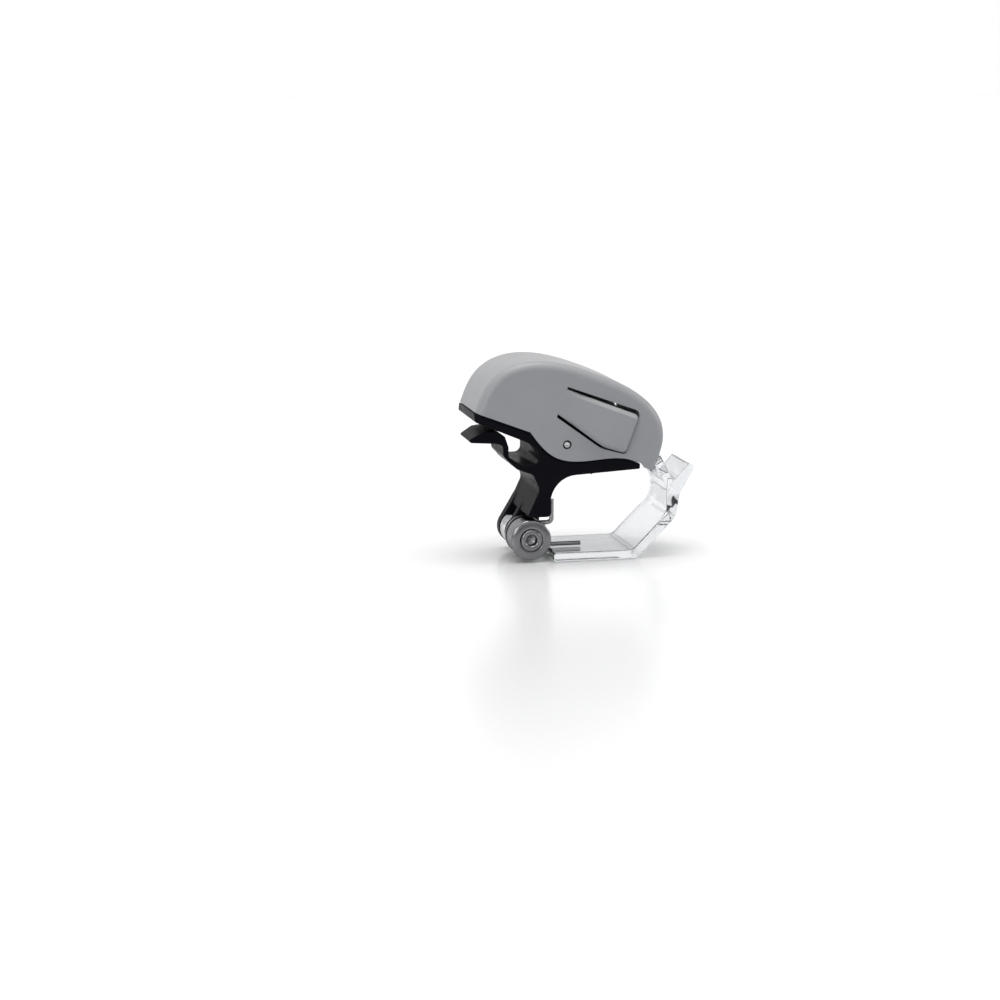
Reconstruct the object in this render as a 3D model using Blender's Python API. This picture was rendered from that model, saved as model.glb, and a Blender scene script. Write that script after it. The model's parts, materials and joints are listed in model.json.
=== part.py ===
"""Cable clip: a hinged clamp for a coiled cable.

A hollow moulded shell sits on a black frame. The frame carries the upper jaw, the springy cord
keeper and the hinge ears. A clear lower jaw swings on the hinge pin, opened by a torsion spring,
and its toothed prongs are caught by a squeeze tab in each side of the shell.

Metres, +Z up. X runs from the hinge to the jaw's tip and Y from the near side to the far side.
The origin is the middle of the flat underside that the closed clip stands on.
"""

import math

import bmesh
import bpy
from mathutils import Matrix, Vector

OBJECT_NAME = "cable_clip"

# Clearances
SEAM = 0.0002
RUNNING_GAP = 0.0003
PIN_FIT = 0.00008

# Shell, drawn level: u runs from its nose to its tail, w is up from the flange line
SHELL_LENGTH = 0.0423
SHELL_WIDTH = 0.0200
SHELL_HEIGHT = 0.0167
SHELL_WALL = 0.0016
SHELL_EDGE_RADIUS = 0.0020
CROWN_POSITION = 0.0220
NOSE_SHOULDER = 0.0020
NOSE_FULLNESS = 2.45
TAIL_SHOULDER = 0.0040
TAIL_FULLNESS = 2.6

# Lower edge of the shell: level, then a belly, then a low hump towards the tail
BELLY_START = 0.0128
BELLY_LOWEST = 0.0208
BELLY_DEPTH = 0.0034
HUMP_POSITION = 0.0370
HUMP_HEIGHT = 0.0016
TAIL_EDGE_HEIGHT = 0.0009
TAIL_STEP_LENGTH = 0.0010

# How the upper half lies over the hinge
PITCH = math.radians(20.6)
NOSE_REACH = 0.0124
NOSE_HEIGHT = 0.0284

# Squeeze tabs
TAB_TAIL_DISTANCE = 0.0081
TAB_LENGTH = 0.0171
TAB_PAD_LENGTH = 0.0046
TAB_PROUD = 0.0020
TAB_ROOT_BOTTOM = 0.0057
TAB_ROOT_HEIGHT = 0.0057
TAB_HEEL_DISTANCE = 0.0118
TAB_HEEL_BOTTOM = 0.0023
TAB_END_BOTTOM = 0.0026
TAB_END_TOP = 0.0113
TAB_UPPER_SLOT_ROOT = 0.00055
TAB_UPPER_SLOT_END = 0.0009
TAB_LOWER_SLOT_ROOT = 0.0007
TAB_LOWER_SLOT_END = 0.0003
TAB_END_GAP = 0.0004
TAB_ROOT_GAP = 0.0002
TAB_WALL = 0.0014

# Catch fingers inside the tabs
CATCH_HEIGHT = 0.0063
CATCH_THICKNESS = 0.0015
CATCH_REACH = 0.0054
CATCH_SHELF_LENGTH = 0.0016
CATCH_INNER = 0.0023
CATCH_WIDTH = 0.0010
CATCH_BARB_LENGTH = 0.0016
CATCH_BARB_PROUD = 0.0003

# Frame
FRAME_INSET = 0.0003
FLANGE_THICKNESS = 0.0021
FLANGE_NOSE_THICKNESS = 0.0017
FLANGE_NOSE_UNDERCUT = 0.0007
FLANGE_LIP = 0.0001
FRAME_LENGTH = 0.0386
FRAME_EDGE = 0.00035
ARCH_END_HEIGHT = 0.0150
ARCH_ROOT_HEIGHT = 0.0138
ARCH_RADIUS = 0.0060
NECK_THICKNESS = 0.0050
NECK_RIGHT = 0.0042
NECK_BOTTOM = 0.0051
NECK_WAIST_HEIGHT = 0.0112
NECK_WAIST_SET = 0.0026
NECK_TOE_SET = 0.0002
PIN_BLOCK_LENGTH = 0.0074
PIN_BLOCK_WIDTH = 0.0140
PIN_BLOCK_TAIL = 0.0030
PIN_BLOCK_HEIGHT = 0.0061

# Cord keeper, a tongue under the flange with a tunnel for one cord
TUNNEL_WIDTH = 0.0060
TUNNEL_HEIGHT = 0.0053
TUNNEL_WALL_SET = 0.0033
TONGUE_THICKNESS = 0.0012
TONGUE_BEYOND_NOSE = 0.0001
TONGUE_TIP_GAP = 0.0047
TONGUE_HUMP_SET = 0.0062
TONGUE_PINCH_GAP = 0.0002
TONGUE_ROOT_WIDTH = 0.0130
TONGUE_TIP_WIDTH = 0.0090
TONGUE_SHOULDER = 0.0025

# Hinge
HINGE_HEIGHT = 0.0050
PIN_RADIUS = 0.0014
PIN_HEAD_RADIUS = 0.0024
PIN_HEAD_THICKNESS = 0.0006
PIN_HOLLOW_RADIUS = 0.0009
PIN_HOLLOW_DEPTH = 0.0022
PIN_PEEN_RADIUS = 0.0020
PIN_PEEN_THICKNESS = 0.0005
FAR_EAR_RADIUS = 0.0038
FAR_EAR_THICKNESS = 0.0032
FAR_EAR_INSET = 0.00005
MID_EAR_RADIUS = 0.0036
MID_EAR_THICKNESS = 0.0024
WASHER_THICKNESS = 0.0005
WASHER_RADIUS = 0.0040
INNER_WASHER_RADIUS = 0.0043
SPRING_RADIUS = 0.00365
SPRING_WIRE = 0.0010
SPRING_TURNS = 4
SPRING_TURN_GAP = 0.00012
SPRING_EXIT_ANGLE = math.radians(16.0)
SPRING_FRAME_LEG_HEIGHT = 0.0088
SPRING_JAW_LEG_REACH = 0.0125

# Lower jaw, from the hinge axis
JAW_INSET = 0.0002
JAW_THICKNESS = 0.0020
JAW_EDGE = 0.0004
JAW_FLOOR_START = 0.0050
JAW_CORNER_RISE = 0.0090
JAW_UPRIGHT_TOP = 0.0110
JAW_LIP_REACH = 0.0050
JAW_LIP_RISE = 0.0042
KNUCKLE_RADIUS = 0.0037
JAW_UPRIGHT_WIDTH = 0.0136
JAW_SHOULDER_RISE = 0.0055
PRONG_BEYOND_TAIL = 0.0033
PRONG_THICKNESS = 0.0018
PRONG_SPREAD = 0.0130
PRONG_WIDTH = 0.0021
PRONG_TIP_ANGLE = math.radians(42.0)
PRONG_CROTCH_ANGLE = math.radians(22.0)
TOOTH_DEPTH = 0.0005
TOOTH_PITCH = 0.0012
TOOTH_COUNT = 7

# Cross pin through the shell and the frame
CROSS_PIN_RADIUS = 0.0007
CROSS_PIN_HOLE_GAP = 0.0002
CROSS_PIN_POSITION = 0.0215
CROSS_PIN_HEIGHT = 0.0001
CROSS_PIN_RECESS = 0.0002

# Fineness of the round forms
ARC_STEP = math.radians(15.0)
BELLY_STEP = 0.0018
ROUND_SIDES = 32

# Sizes that follow from the ones above
HALF_SHELL = SHELL_WIDTH / 2
HALF_FRAME = HALF_SHELL - FRAME_INSET
JAW_WIDTH = 2 * (HALF_FRAME - JAW_INSET)
TAB_END = SHELL_LENGTH - TAB_TAIL_DISTANCE
TAB_ROOT = TAB_END - TAB_LENGTH


def body_point(u, w):
    """A point of the pitched upper half, as seen from the hinge axis."""
    x = -NOSE_REACH + u * math.cos(PITCH) + w * math.sin(PITCH)
    z = NOSE_HEIGHT - u * math.sin(PITCH) + w * math.cos(PITCH)
    return x, z


# The prongs pass just outside the shell's tail, and the jaw's floor starts and ends from them
PRONG_RADIUS = math.hypot(*body_point(SHELL_LENGTH, TAIL_EDGE_HEIGHT)) + PRONG_BEYOND_TAIL
JAW_UPRIGHT_X = math.sqrt(PRONG_RADIUS ** 2 - JAW_UPRIGHT_TOP ** 2)
JAW_CORNER_X = JAW_UPRIGHT_X + JAW_THICKNESS * 0.05
JAW_FLOOR_END = JAW_CORNER_X - JAW_CORNER_RISE
HINGE_X = -(JAW_FLOOR_START + JAW_FLOOR_END) / 2


def clear_scene():
    """Remove every object, so that the script starts from an empty scene."""
    for old in list(bpy.data.objects):
        bpy.data.objects.remove(old, do_unlink=True)


def new_collection(name):
    """Make a collection under the scene."""
    collection = bpy.data.collections.new(name)
    bpy.context.scene.collection.children.link(collection)
    return collection


def make_material(name, colour, roughness, metallic=0.0, transmission=0.0):
    """Make a Principled material."""
    material = bpy.data.materials.new(name)
    material.use_nodes = True
    shader = material.node_tree.nodes["Principled BSDF"]
    shader.inputs["Base Color"].default_value = (*colour, 1.0)
    shader.inputs["Roughness"].default_value = roughness
    shader.inputs["Metallic"].default_value = metallic
    shader.inputs["Transmission Weight"].default_value = transmission
    return material


clear_scene()
PIECES = new_collection(OBJECT_NAME)
CUTTERS = new_collection("cutters")


# Outlines

def fillet(before, corner, after, radius):
    """Points of the arc that rounds one corner of an outline."""
    corner = Vector(corner)
    to_before = (Vector(before) - corner)
    to_after = (Vector(after) - corner)
    angle = to_before.angle(to_after)
    set_back = radius / math.tan(angle / 2)
    start = corner + to_before.normalized() * set_back
    end = corner + to_after.normalized() * set_back
    middle_way = (to_before.normalized() + to_after.normalized()).normalized()
    centre = corner + middle_way * (radius / math.sin(angle / 2))
    start_angle = math.atan2(start.y - centre.y, start.x - centre.x)
    sweep = math.atan2(end.y - centre.y, end.x - centre.x) - start_angle
    sweep = (sweep + math.pi) % (2 * math.pi) - math.pi
    steps = max(1, math.ceil(abs(sweep) / ARC_STEP))
    angles = [start_angle + sweep * i / steps for i in range(steps + 1)]
    return [(centre.x + radius * math.cos(a), centre.y + radius * math.sin(a)) for a in angles]


def rounded(corners):
    """Outline through corners given as (x, z, radius), each rounded by its own radius."""
    points = []
    for i, (x, z, radius) in enumerate(corners):
        if radius <= 0:
            points.append((x, z))
            continue
        before = corners[i - 1][:2]
        after = corners[(i + 1) % len(corners)][:2]
        points.extend(fillet(before, (x, z), after, radius))
    return points


def arc(radius, start, end, centre=(0.0, 0.0)):
    """Points along an arc about a centre."""
    steps = max(2, math.ceil(abs(end - start) / ARC_STEP))
    angles = [start + (end - start) * i / steps for i in range(steps + 1)]
    return [(centre[0] + radius * math.cos(a), centre[1] + radius * math.sin(a)) for a in angles]


def belly_line(u):
    """Height of the shell's lower edge at a distance u from the nose."""
    if u <= BELLY_START:
        return 0.0
    if u <= BELLY_LOWEST:
        share = (u - BELLY_START) / (BELLY_LOWEST - BELLY_START)
        return -BELLY_DEPTH * math.sin(share * math.pi / 2)
    if u <= HUMP_POSITION:
        share = (u - BELLY_LOWEST) / (HUMP_POSITION - BELLY_LOWEST)
        rise = (1 - math.cos(share * math.pi)) / 2
        return -BELLY_DEPTH + (BELLY_DEPTH + HUMP_HEIGHT) * rise
    share = (u - FRAME_LENGTH - RUNNING_GAP) / TAIL_STEP_LENGTH
    return HUMP_HEIGHT - (HUMP_HEIGHT - TAIL_EDGE_HEIGHT) * min(1.0, max(0.0, share))


def belly_points(start, end, drop):
    """The shell's lower edge from start to end, lowered by drop, with a point at each change."""
    step = FRAME_LENGTH + RUNNING_GAP
    marks = {start, end, BELLY_START, BELLY_LOWEST, HUMP_POSITION, step, step + TAIL_STEP_LENGTH}
    marks = sorted(m for m in marks if start <= m <= end)
    stations = []
    for low, high in zip(marks, marks[1:]):
        curved = BELLY_START <= low and high <= HUMP_POSITION
        count = max(1, round((high - low) / BELLY_STEP)) if curved else 1
        stations.extend(low + (high - low) * i / count for i in range(count))
    stations.append(marks[-1])
    return [(u, belly_line(u) - drop) for u in stations]


def crown_points(inset):
    """Nose, crown and tail of the shell as two quarter superellipses, drawn in by inset."""
    nose = CROWN_POSITION - inset
    tail = SHELL_LENGTH - CROWN_POSITION - inset
    points = []
    steps = 12
    for i in range(steps + 1):
        a = math.pi / 2 * i / steps
        u = CROWN_POSITION - nose * math.cos(a) ** (2 / NOSE_FULLNESS)
        rise = SHELL_HEIGHT - NOSE_SHOULDER - inset
        points.append((u, NOSE_SHOULDER + rise * math.sin(a) ** (2 / NOSE_FULLNESS)))
    for i in range(1, steps + 1):
        a = math.pi / 2 * i / steps
        u = CROWN_POSITION + tail * math.sin(a) ** (2 / TAIL_FULLNESS)
        rise = SHELL_HEIGHT - TAIL_SHOULDER - inset
        points.append((u, TAIL_SHOULDER + rise * math.cos(a) ** (2 / TAIL_FULLNESS)))
    return points


# Solids

def add_empty(name, location, parent=None, tilt=0.0):
    """An empty that carries pieces, tilted about Y."""
    empty = bpy.data.objects.new(name, None)
    empty.empty_display_size = 0.004
    empty.location = location
    empty.rotation_euler = (0.0, tilt, 0.0)
    empty.parent = parent
    PIECES.objects.link(empty)
    return empty


def finish_mesh(mesh, smooth_angle=40.0):
    """Weld a mesh, make its faces point out and shade its round stretches smooth."""
    work = bmesh.new()
    work.from_mesh(mesh)
    bmesh.ops.remove_doubles(work, verts=work.verts, dist=1e-7)
    bmesh.ops.dissolve_limit(work, angle_limit=1e-4, verts=work.verts, edges=work.edges)
    bmesh.ops.recalc_face_normals(work, faces=work.faces)
    work.to_mesh(mesh)
    work.free()
    mesh.shade_smooth()
    mesh.set_sharp_from_angle(angle=math.radians(smooth_angle))


def add_mesh_object(name, mesh, parent, cutter=False, material=None):
    """Put a mesh in the scene, as a piece or as a hidden cutter."""
    thing = bpy.data.objects.new(name, mesh)
    thing.parent = parent
    if cutter:
        CUTTERS.objects.link(thing)
        thing.hide_render = True
        thing.display_type = "WIRE"
    else:
        PIECES.objects.link(thing)
    if material:
        mesh.materials.append(material)
    return thing


def curve_to_mesh(name, curve):
    """Turn a curve into a closed mesh and remove the curve."""
    holder = bpy.data.objects.new(name + "_curve", curve)
    bpy.context.scene.collection.objects.link(holder)
    bpy.context.view_layer.update()
    evaluated = holder.evaluated_get(bpy.context.evaluated_depsgraph_get())
    mesh = bpy.data.meshes.new_from_object(evaluated)
    mesh.name = name
    bpy.data.objects.remove(holder, do_unlink=True)
    bpy.data.curves.remove(curve)
    return mesh


def plate(name, outlines, near, far, parent, edge=0.0, edge_steps=1, cutter=False, material=None):
    """Flat outlines in the XZ plane made a solid from near to far along Y, with rounded rims."""
    curve = bpy.data.curves.new(name, "CURVE")
    curve.dimensions = "2D"
    curve.fill_mode = "BOTH"
    for outline in outlines:
        spline = curve.splines.new("POLY")
        spline.points.add(len(outline) - 1)
        for point, (x, z) in zip(spline.points, outline):
            point.co = (x, z, 0.0, 1.0)
        spline.use_cyclic_u = True
    curve.extrude = (far - near) / 2 - edge
    curve.bevel_depth = edge
    curve.bevel_resolution = edge_steps
    curve.offset = -edge
    mesh = curve_to_mesh(name, curve)
    stand = Matrix.Translation((0.0, (near + far) / 2, 0.0)) @ Matrix.Rotation(math.pi / 2, 4, "X")
    mesh.transform(stand)
    finish_mesh(mesh)
    return add_mesh_object(name, mesh, parent, cutter, material)


def turned(name, profile, parent, centre=(0.0, 0.0), cutter=False, material=None):
    """A closed profile of (radius, y) turned about an axis along Y."""
    work = bmesh.new()
    ring = [work.verts.new((radius, y, 0.0)) for radius, y in profile]
    edges = [work.edges.new((a, b)) for a, b in zip(ring, ring[1:])]
    bmesh.ops.spin(work, geom=ring + edges, cent=(0, 0, 0), axis=(0, 1, 0), dvec=(0, 0, 0),
                   angle=2 * math.pi, steps=ROUND_SIDES, use_merge=True, use_duplicate=False)
    bmesh.ops.translate(work, verts=work.verts, vec=(centre[0], 0.0, centre[1]))
    mesh = bpy.data.meshes.new(name)
    work.to_mesh(mesh)
    work.free()
    finish_mesh(mesh)
    return add_mesh_object(name, mesh, parent, cutter, material)


def bar(name, radius, near, far, parent, centre=(0.0, 0.0), cutter=True):
    """A plain cylinder along Y."""
    profile = [(0.0, near), (radius, near), (radius, far), (0.0, far)]
    return turned(name, profile, parent, centre, cutter)


def boolean(piece, operation, other):
    """Add one exact Boolean to a piece."""
    modifier = piece.modifiers.new(f"{operation.lower()}_{other.name}", "BOOLEAN")
    modifier.operation = operation
    modifier.solver = "EXACT"
    modifier.object = other


# Shell

def shell_body(name, inset, parent, cutter, material=None):
    """The shell's full form, drawn in by inset on every side, before its lower edge is cut."""
    low = -BELLY_DEPTH - 0.006
    outline = [(inset, low)] + crown_points(inset) + [(SHELL_LENGTH - inset, low)]
    half = HALF_SHELL - inset
    edge = SHELL_EDGE_RADIUS - inset if inset else SHELL_EDGE_RADIUS
    return plate(name, [outline], -half, half, parent, edge, 3, cutter, material)


def lower_cut(parent):
    """Everything below the shell's lower edge."""
    beyond = 0.004
    depth = 0.020
    line = belly_points(0.0, SHELL_LENGTH, 0.0)
    outline = [(-beyond, 0.0)] + line[1:-1]
    outline += [(SHELL_LENGTH, TAIL_EDGE_HEIGHT), (SHELL_LENGTH + beyond, TAIL_EDGE_HEIGHT)]
    outline += [(SHELL_LENGTH + beyond, -depth), (-beyond, -depth)]
    return plate("shell_lower_cut", [outline], -HALF_SHELL * 1.5, HALF_SHELL * 1.5, parent, cutter=True)


def window_outline():
    """Opening in the shell's side, larger than the tab by its slots."""
    top = TAB_ROOT_BOTTOM + TAB_ROOT_HEIGHT + TAB_UPPER_SLOT_ROOT
    return [
        (TAB_ROOT, TAB_ROOT_BOTTOM - TAB_LOWER_SLOT_ROOT),
        (TAB_ROOT + TAB_HEEL_DISTANCE, TAB_HEEL_BOTTOM - TAB_LOWER_SLOT_ROOT),
        (TAB_END + TAB_END_GAP, TAB_END_BOTTOM - TAB_LOWER_SLOT_END),
        (TAB_END + TAB_END_GAP, TAB_END_TOP + TAB_UPPER_SLOT_END),
        (TAB_ROOT, top),
    ]


def notch_outline():
    """Opening in the tail wall for the jaw's prongs, seen from the hinge axis."""
    outer = PRONG_RADIUS + RUNNING_GAP * 2
    top_angle = math.radians(37.0)
    low = 0.010
    return [
        (PRONG_RADIUS - 0.009, low),
        (PRONG_RADIUS + 0.004, low),
        (PRONG_RADIUS + 0.004, outer * math.sin(top_angle)),
        (PRONG_RADIUS - 0.009, outer * math.sin(top_angle)),
    ]


def make_shell(body_axis, hinge_axis, material):
    """The moulded cover with its hollow, windows, pin holes and tail notch."""
    shell = shell_body("shell", 0.0, body_axis, False, material)
    boolean(shell, "DIFFERENCE", shell_body("shell_hollow", SHELL_WALL, body_axis, True))
    boolean(shell, "DIFFERENCE", lower_cut(body_axis))
    wide = HALF_SHELL * 1.5
    windows = plate("tab_windows", [window_outline()], -wide, wide, body_axis, cutter=True)
    boolean(shell, "DIFFERENCE", windows)
    hole = CROSS_PIN_RADIUS + CROSS_PIN_HOLE_GAP
    centre = (CROSS_PIN_POSITION, CROSS_PIN_HEIGHT)
    boolean(shell, "DIFFERENCE", bar("shell_pin_hole", hole, -wide, wide, body_axis, centre))
    half = PRONG_SPREAD / 2 + RUNNING_GAP
    notch = plate("tail_notch", [notch_outline()], -half, half, hinge_axis, cutter=True)
    boolean(shell, "DIFFERENCE", notch)
    return shell


# Squeeze tabs

def tab_side_outline():
    """Outline of a tab seen from its side."""
    return [
        (TAB_ROOT + TAB_ROOT_GAP, TAB_ROOT_BOTTOM),
        (TAB_ROOT + TAB_HEEL_DISTANCE, TAB_HEEL_BOTTOM),
        (TAB_END, TAB_END_BOTTOM),
        (TAB_END, TAB_END_TOP),
        (TAB_ROOT + TAB_ROOT_GAP, TAB_ROOT_BOTTOM + TAB_ROOT_HEIGHT),
    ]


def standing_plate(name, outline, low, high, parent, cutter=True):
    """An outline in the XY plane made a solid from low to high along Z."""
    part = plate(name, [outline], 0.0, high - low, parent, cutter=cutter)
    lay = Matrix.Translation((0.0, 0.0, high)) @ Matrix.Rotation(-math.pi / 2, 4, "X")
    part.data.transform(lay)
    return part


def tab_plan_outline(inset):
    """Outline of the near tab seen from above: flush at its root, a ramp, then a raised pad."""
    face = -HALF_SHELL
    inner = face + SHELL_WALL
    ramp_end = TAB_END - TAB_PAD_LENGTH
    if inset:
        return [
            (TAB_ROOT + TAB_WALL * 2, inner + 0.002),
            (TAB_ROOT + TAB_WALL * 2, face + inset),
            (ramp_end, face - TAB_PROUD + inset),
            (TAB_END - inset, face - TAB_PROUD + inset),
            (TAB_END - inset, inner + 0.002),
        ]
    return [
        (TAB_ROOT, inner),
        (TAB_ROOT, face),
        (ramp_end, face - TAB_PROUD),
        (TAB_END + 0.002, face - TAB_PROUD),
        (TAB_END + 0.002, inner),
    ]


def catch_outline():
    """The catch seen from above: a shelf inwards from the tab's end, then a barbed finger."""
    inner_face = -HALF_SHELL + SHELL_WALL
    shelf_end = TAB_END - 0.0002
    shelf_start = shelf_end - CATCH_SHELF_LENGTH
    tip = TAB_END + CATCH_REACH
    outer = -(CATCH_INNER + CATCH_WIDTH)
    return [
        (shelf_start, inner_face - TAB_WALL / 2),
        (shelf_end, inner_face - TAB_WALL / 2),
        (shelf_end, outer),
        (tip - CATCH_BARB_LENGTH, outer),
        (tip - CATCH_BARB_LENGTH * 0.6, outer - CATCH_BARB_PROUD),
        (tip - CATCH_BARB_LENGTH * 0.2, outer - CATCH_BARB_PROUD),
        (tip, outer + CATCH_WIDTH * 0.4),
        (tip, -CATCH_INNER),
        (shelf_start, -CATCH_INNER),
    ]


def make_tab(name, body_axis, material):
    """The near squeeze tab: a hollow button with a catch finger inside it."""
    deep = HALF_SHELL + TAB_PROUD * 2
    below = TAB_END_BOTTOM - TAB_ROOT_HEIGHT
    above = TAB_END_TOP + TAB_ROOT_HEIGHT
    tab = standing_plate(name, tab_plan_outline(0.0), below, above, body_axis, cutter=False)
    tab.data.materials.append(material)
    side = plate("tab_side", [tab_side_outline()], -deep, 0.0, body_axis, cutter=True)
    boolean(tab, "INTERSECT", side)
    low = TAB_HEEL_BOTTOM + TAB_WALL + 0.0026
    high = TAB_END_TOP - TAB_WALL
    hollow = standing_plate("tab_hollow", tab_plan_outline(TAB_WALL), low, high, body_axis)
    boolean(tab, "DIFFERENCE", hollow)
    half = CATCH_THICKNESS / 2
    low = CATCH_HEIGHT - half
    catch = standing_plate("tab_catch", catch_outline(), low, low + CATCH_THICKNESS, body_axis)
    boolean(tab, "UNION", catch)
    return tab


def make_far_tab(near_tab, name, flex_axis, material):
    """The far tab, a mirror image of the near one."""
    bpy.context.view_layer.update()
    evaluated = near_tab.evaluated_get(bpy.context.evaluated_depsgraph_get())
    mesh = bpy.data.meshes.new_from_object(evaluated)
    mesh.name = name
    mesh.transform(Matrix.Scale(-1.0, 4, (0.0, 1.0, 0.0)))
    finish_mesh(mesh)
    mesh.materials.clear()
    return add_mesh_object(name, mesh, flex_axis, False, material)


# Frame

def flange_under(reach):
    """Point under the flange at a distance from the nose, and its height there."""
    return body_point(reach / math.cos(PITCH), -SEAM - FLANGE_THICKNESS)


def keeper_places():
    """Places of the cord keeper from the hinge axis, taken from the flange above it."""
    root = body_point(BELLY_START - FLANGE_THICKNESS * 0.3, -SEAM - FLANGE_THICKNESS)
    hump = flange_under(TONGUE_HUMP_SET)
    nose = flange_under(0.0)
    return {
        "root": root,
        "right": root[0] + TUNNEL_WALL_SET,
        "left": root[0] + TUNNEL_WALL_SET - TUNNEL_WIDTH,
        "floor": root[1] - TUNNEL_HEIGHT,
        "hump": (hump[0], hump[1] - TONGUE_PINCH_GAP),
        "tip": (nose[0] - TONGUE_BEYOND_NOSE, nose[1] - TONGUE_TIP_GAP),
    }


def frame_outline():
    """Side outline of the frame from the hinge axis: flange, upper jaw, neck and cord keeper."""
    top = [(*body_point(u, w), 0.0) for u, w in belly_points(-FLANGE_LIP, FRAME_LENGTH, SEAM)]
    neck_left = NECK_RIGHT - NECK_THICKNESS
    nose = body_point(FLANGE_NOSE_UNDERCUT - FLANGE_LIP, -SEAM - FLANGE_NOSE_THICKNESS)
    places = keeper_places()
    left, right, floor = places["left"], places["right"], places["floor"]
    hump_x, hump_z = places["hump"]
    tip_x, tip_z = places["tip"]
    skin = TONGUE_THICKNESS
    corners = [
        (top[-1][0], ARCH_END_HEIGHT, 0.0004),
        (NECK_RIGHT, ARCH_ROOT_HEIGHT, ARCH_RADIUS),
        (NECK_RIGHT, NECK_BOTTOM, 0.0008),
        (neck_left - NECK_TOE_SET, NECK_BOTTOM, 0.0005),
        (neck_left + NECK_WAIST_SET, NECK_WAIST_HEIGHT, 0.0020),
        (right - skin, floor - skin * 1.8, 0.0010),
        (left + skin, floor - skin * 0.7, 0.0016),
        (left - skin, floor + skin * 1.4, 0.0012),
        (left - skin, floor + skin * 3.2, 0.0008),
        (hump_x, hump_z - skin * 2.15, 0.0030),
        (tip_x + skin * 0.7, tip_z - skin * 0.25, 0.0006),
        (tip_x, tip_z + skin * 0.1, 0.0003),
        (tip_x + skin * 2.5, tip_z + skin * 1.6, 0.0006),
        (hump_x, hump_z, 0.0012),
        (left - skin * 0.7, floor + skin * 5.0, 0.0010),
        (left, floor + skin * 3.0, 0.0016),
        (left, floor + skin * 1.2, 0.0008),
        (left + skin * 1.7, floor, 0.0012),
        (right, floor, 0.0014),
        (right, places["root"][1] - skin * 0.8, 0.0010),
        (*places["root"], 0.0010),
        (nose[0], nose[1], 0.0004),
    ]
    return rounded(top + corners)


def ear_outline(radius, left_top):
    """A hinge ear: a round eye about the axis, with straight flanks up into the neck."""
    top = NECK_WAIST_HEIGHT
    lean = math.atan2(top, left_top)
    reach = math.hypot(left_top, top)
    touch = lean + math.acos(radius / reach)
    points = [(radius, top), (left_top, top)]
    return points + arc(radius, touch, 2 * math.pi)


def hinge_stack():
    """Places along Y of the parts on the hinge pin, from the near side to the far side."""
    stack = {}
    y = -HALF_FRAME + 0.0001
    stack["head"] = (y, y + PIN_HEAD_THICKNESS)
    y = stack["head"][1] + PIN_FIT
    stack["near_washer"] = (y, y + WASHER_THICKNESS)
    y = stack["near_washer"][1] + SEAM
    length = SPRING_WIRE + spring_travel()
    stack["spring"] = (y, y + length)
    y = stack["spring"][1] + SEAM
    stack["inner_washer"] = (y, y + WASHER_THICKNESS)
    y = stack["inner_washer"][1] + SEAM
    stack["mid_ear"] = (y, y + MID_EAR_THICKNESS)
    stack["far_ear"] = (HALF_FRAME - FAR_EAR_THICKNESS, HALF_FRAME - FAR_EAR_INSET)
    stack["knuckle"] = (stack["mid_ear"][1] + RUNNING_GAP, stack["far_ear"][0] - RUNNING_GAP)
    return stack


def spring_travel():
    """Length of the coil along the pin, from the middle of its first wire to that of its last."""
    turns = SPRING_TURNS + 0.5 + SPRING_EXIT_ANGLE / (2 * math.pi)
    return turns * (SPRING_WIRE + SPRING_TURN_GAP)


def make_frame(hinge_axis, body_axis, material):
    """The black moulding: flange, upper jaw, neck, cord keeper, ears and pin block."""
    stack = hinge_stack()
    frame = plate("frame", [frame_outline()], -HALF_FRAME, HALF_FRAME, hinge_axis, FRAME_EDGE, 1,
                  False, material)
    ear_left = NECK_RIGHT - NECK_THICKNESS + NECK_WAIST_SET + FRAME_EDGE
    for name, radius in (("far_ear", FAR_EAR_RADIUS), ("mid_ear", MID_EAR_RADIUS)):
        outline = ear_outline(radius, ear_left)
        boolean(frame, "UNION", plate(name, [outline], *stack[name], hinge_axis, cutter=True))
    start = CROSS_PIN_POSITION - PIN_BLOCK_LENGTH / 2
    end = CROSS_PIN_POSITION + PIN_BLOCK_LENGTH / 2 + PIN_BLOCK_TAIL
    low = -BELLY_DEPTH - FLANGE_THICKNESS / 2
    top = CROSS_PIN_HEIGHT + PIN_BLOCK_HEIGHT
    block_outline = rounded([(start, low, 0), (end, low, 0), (end, top, 0.001), (start, top, 0.001)])
    half = PIN_BLOCK_WIDTH / 2
    boolean(frame, "UNION", plate("pin_block", [block_outline], -half, half, body_axis, cutter=True))
    wide = HALF_SHELL * 1.5
    centre = (CROSS_PIN_POSITION, CROSS_PIN_HEIGHT)
    cross_hole = bar("frame_cross_hole", CROSS_PIN_RADIUS + PIN_FIT, -wide, wide, body_axis, centre)
    boolean(frame, "DIFFERENCE", cross_hole)
    boolean(frame, "DIFFERENCE", bar("frame_hinge_hole", PIN_RADIUS + PIN_FIT, -wide, wide, hinge_axis))
    for side in (-1, 1):
        boolean(frame, "DIFFERENCE", tongue_trim(side, body_axis))
    return frame


def tongue_trim(side, body_axis):
    """Cutter that narrows the tongue on one side, more at its tip than at its root."""
    root = BELLY_START + TONGUE_THICKNESS * 0.8
    hump = TONGUE_HUMP_SET / math.cos(PITCH)
    outside = HALF_FRAME + SHELL_WALL
    outline = [
        (root, side * outside),
        (root - TONGUE_SHOULDER, side * TONGUE_ROOT_WIDTH / 2),
        (hump, side * TONGUE_ROOT_WIDTH / 2),
        (-TONGUE_BEYOND_NOSE, side * TONGUE_TIP_WIDTH / 2),
        (-TONGUE_BEYOND_NOSE, side * outside),
    ]
    high = -SEAM - FLANGE_THICKNESS - TONGUE_PINCH_GAP / 2
    low = high - TUNNEL_HEIGHT * 2
    return standing_plate(f"tongue_trim_{'far' if side > 0 else 'near'}", outline, low, high, body_axis)


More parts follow.
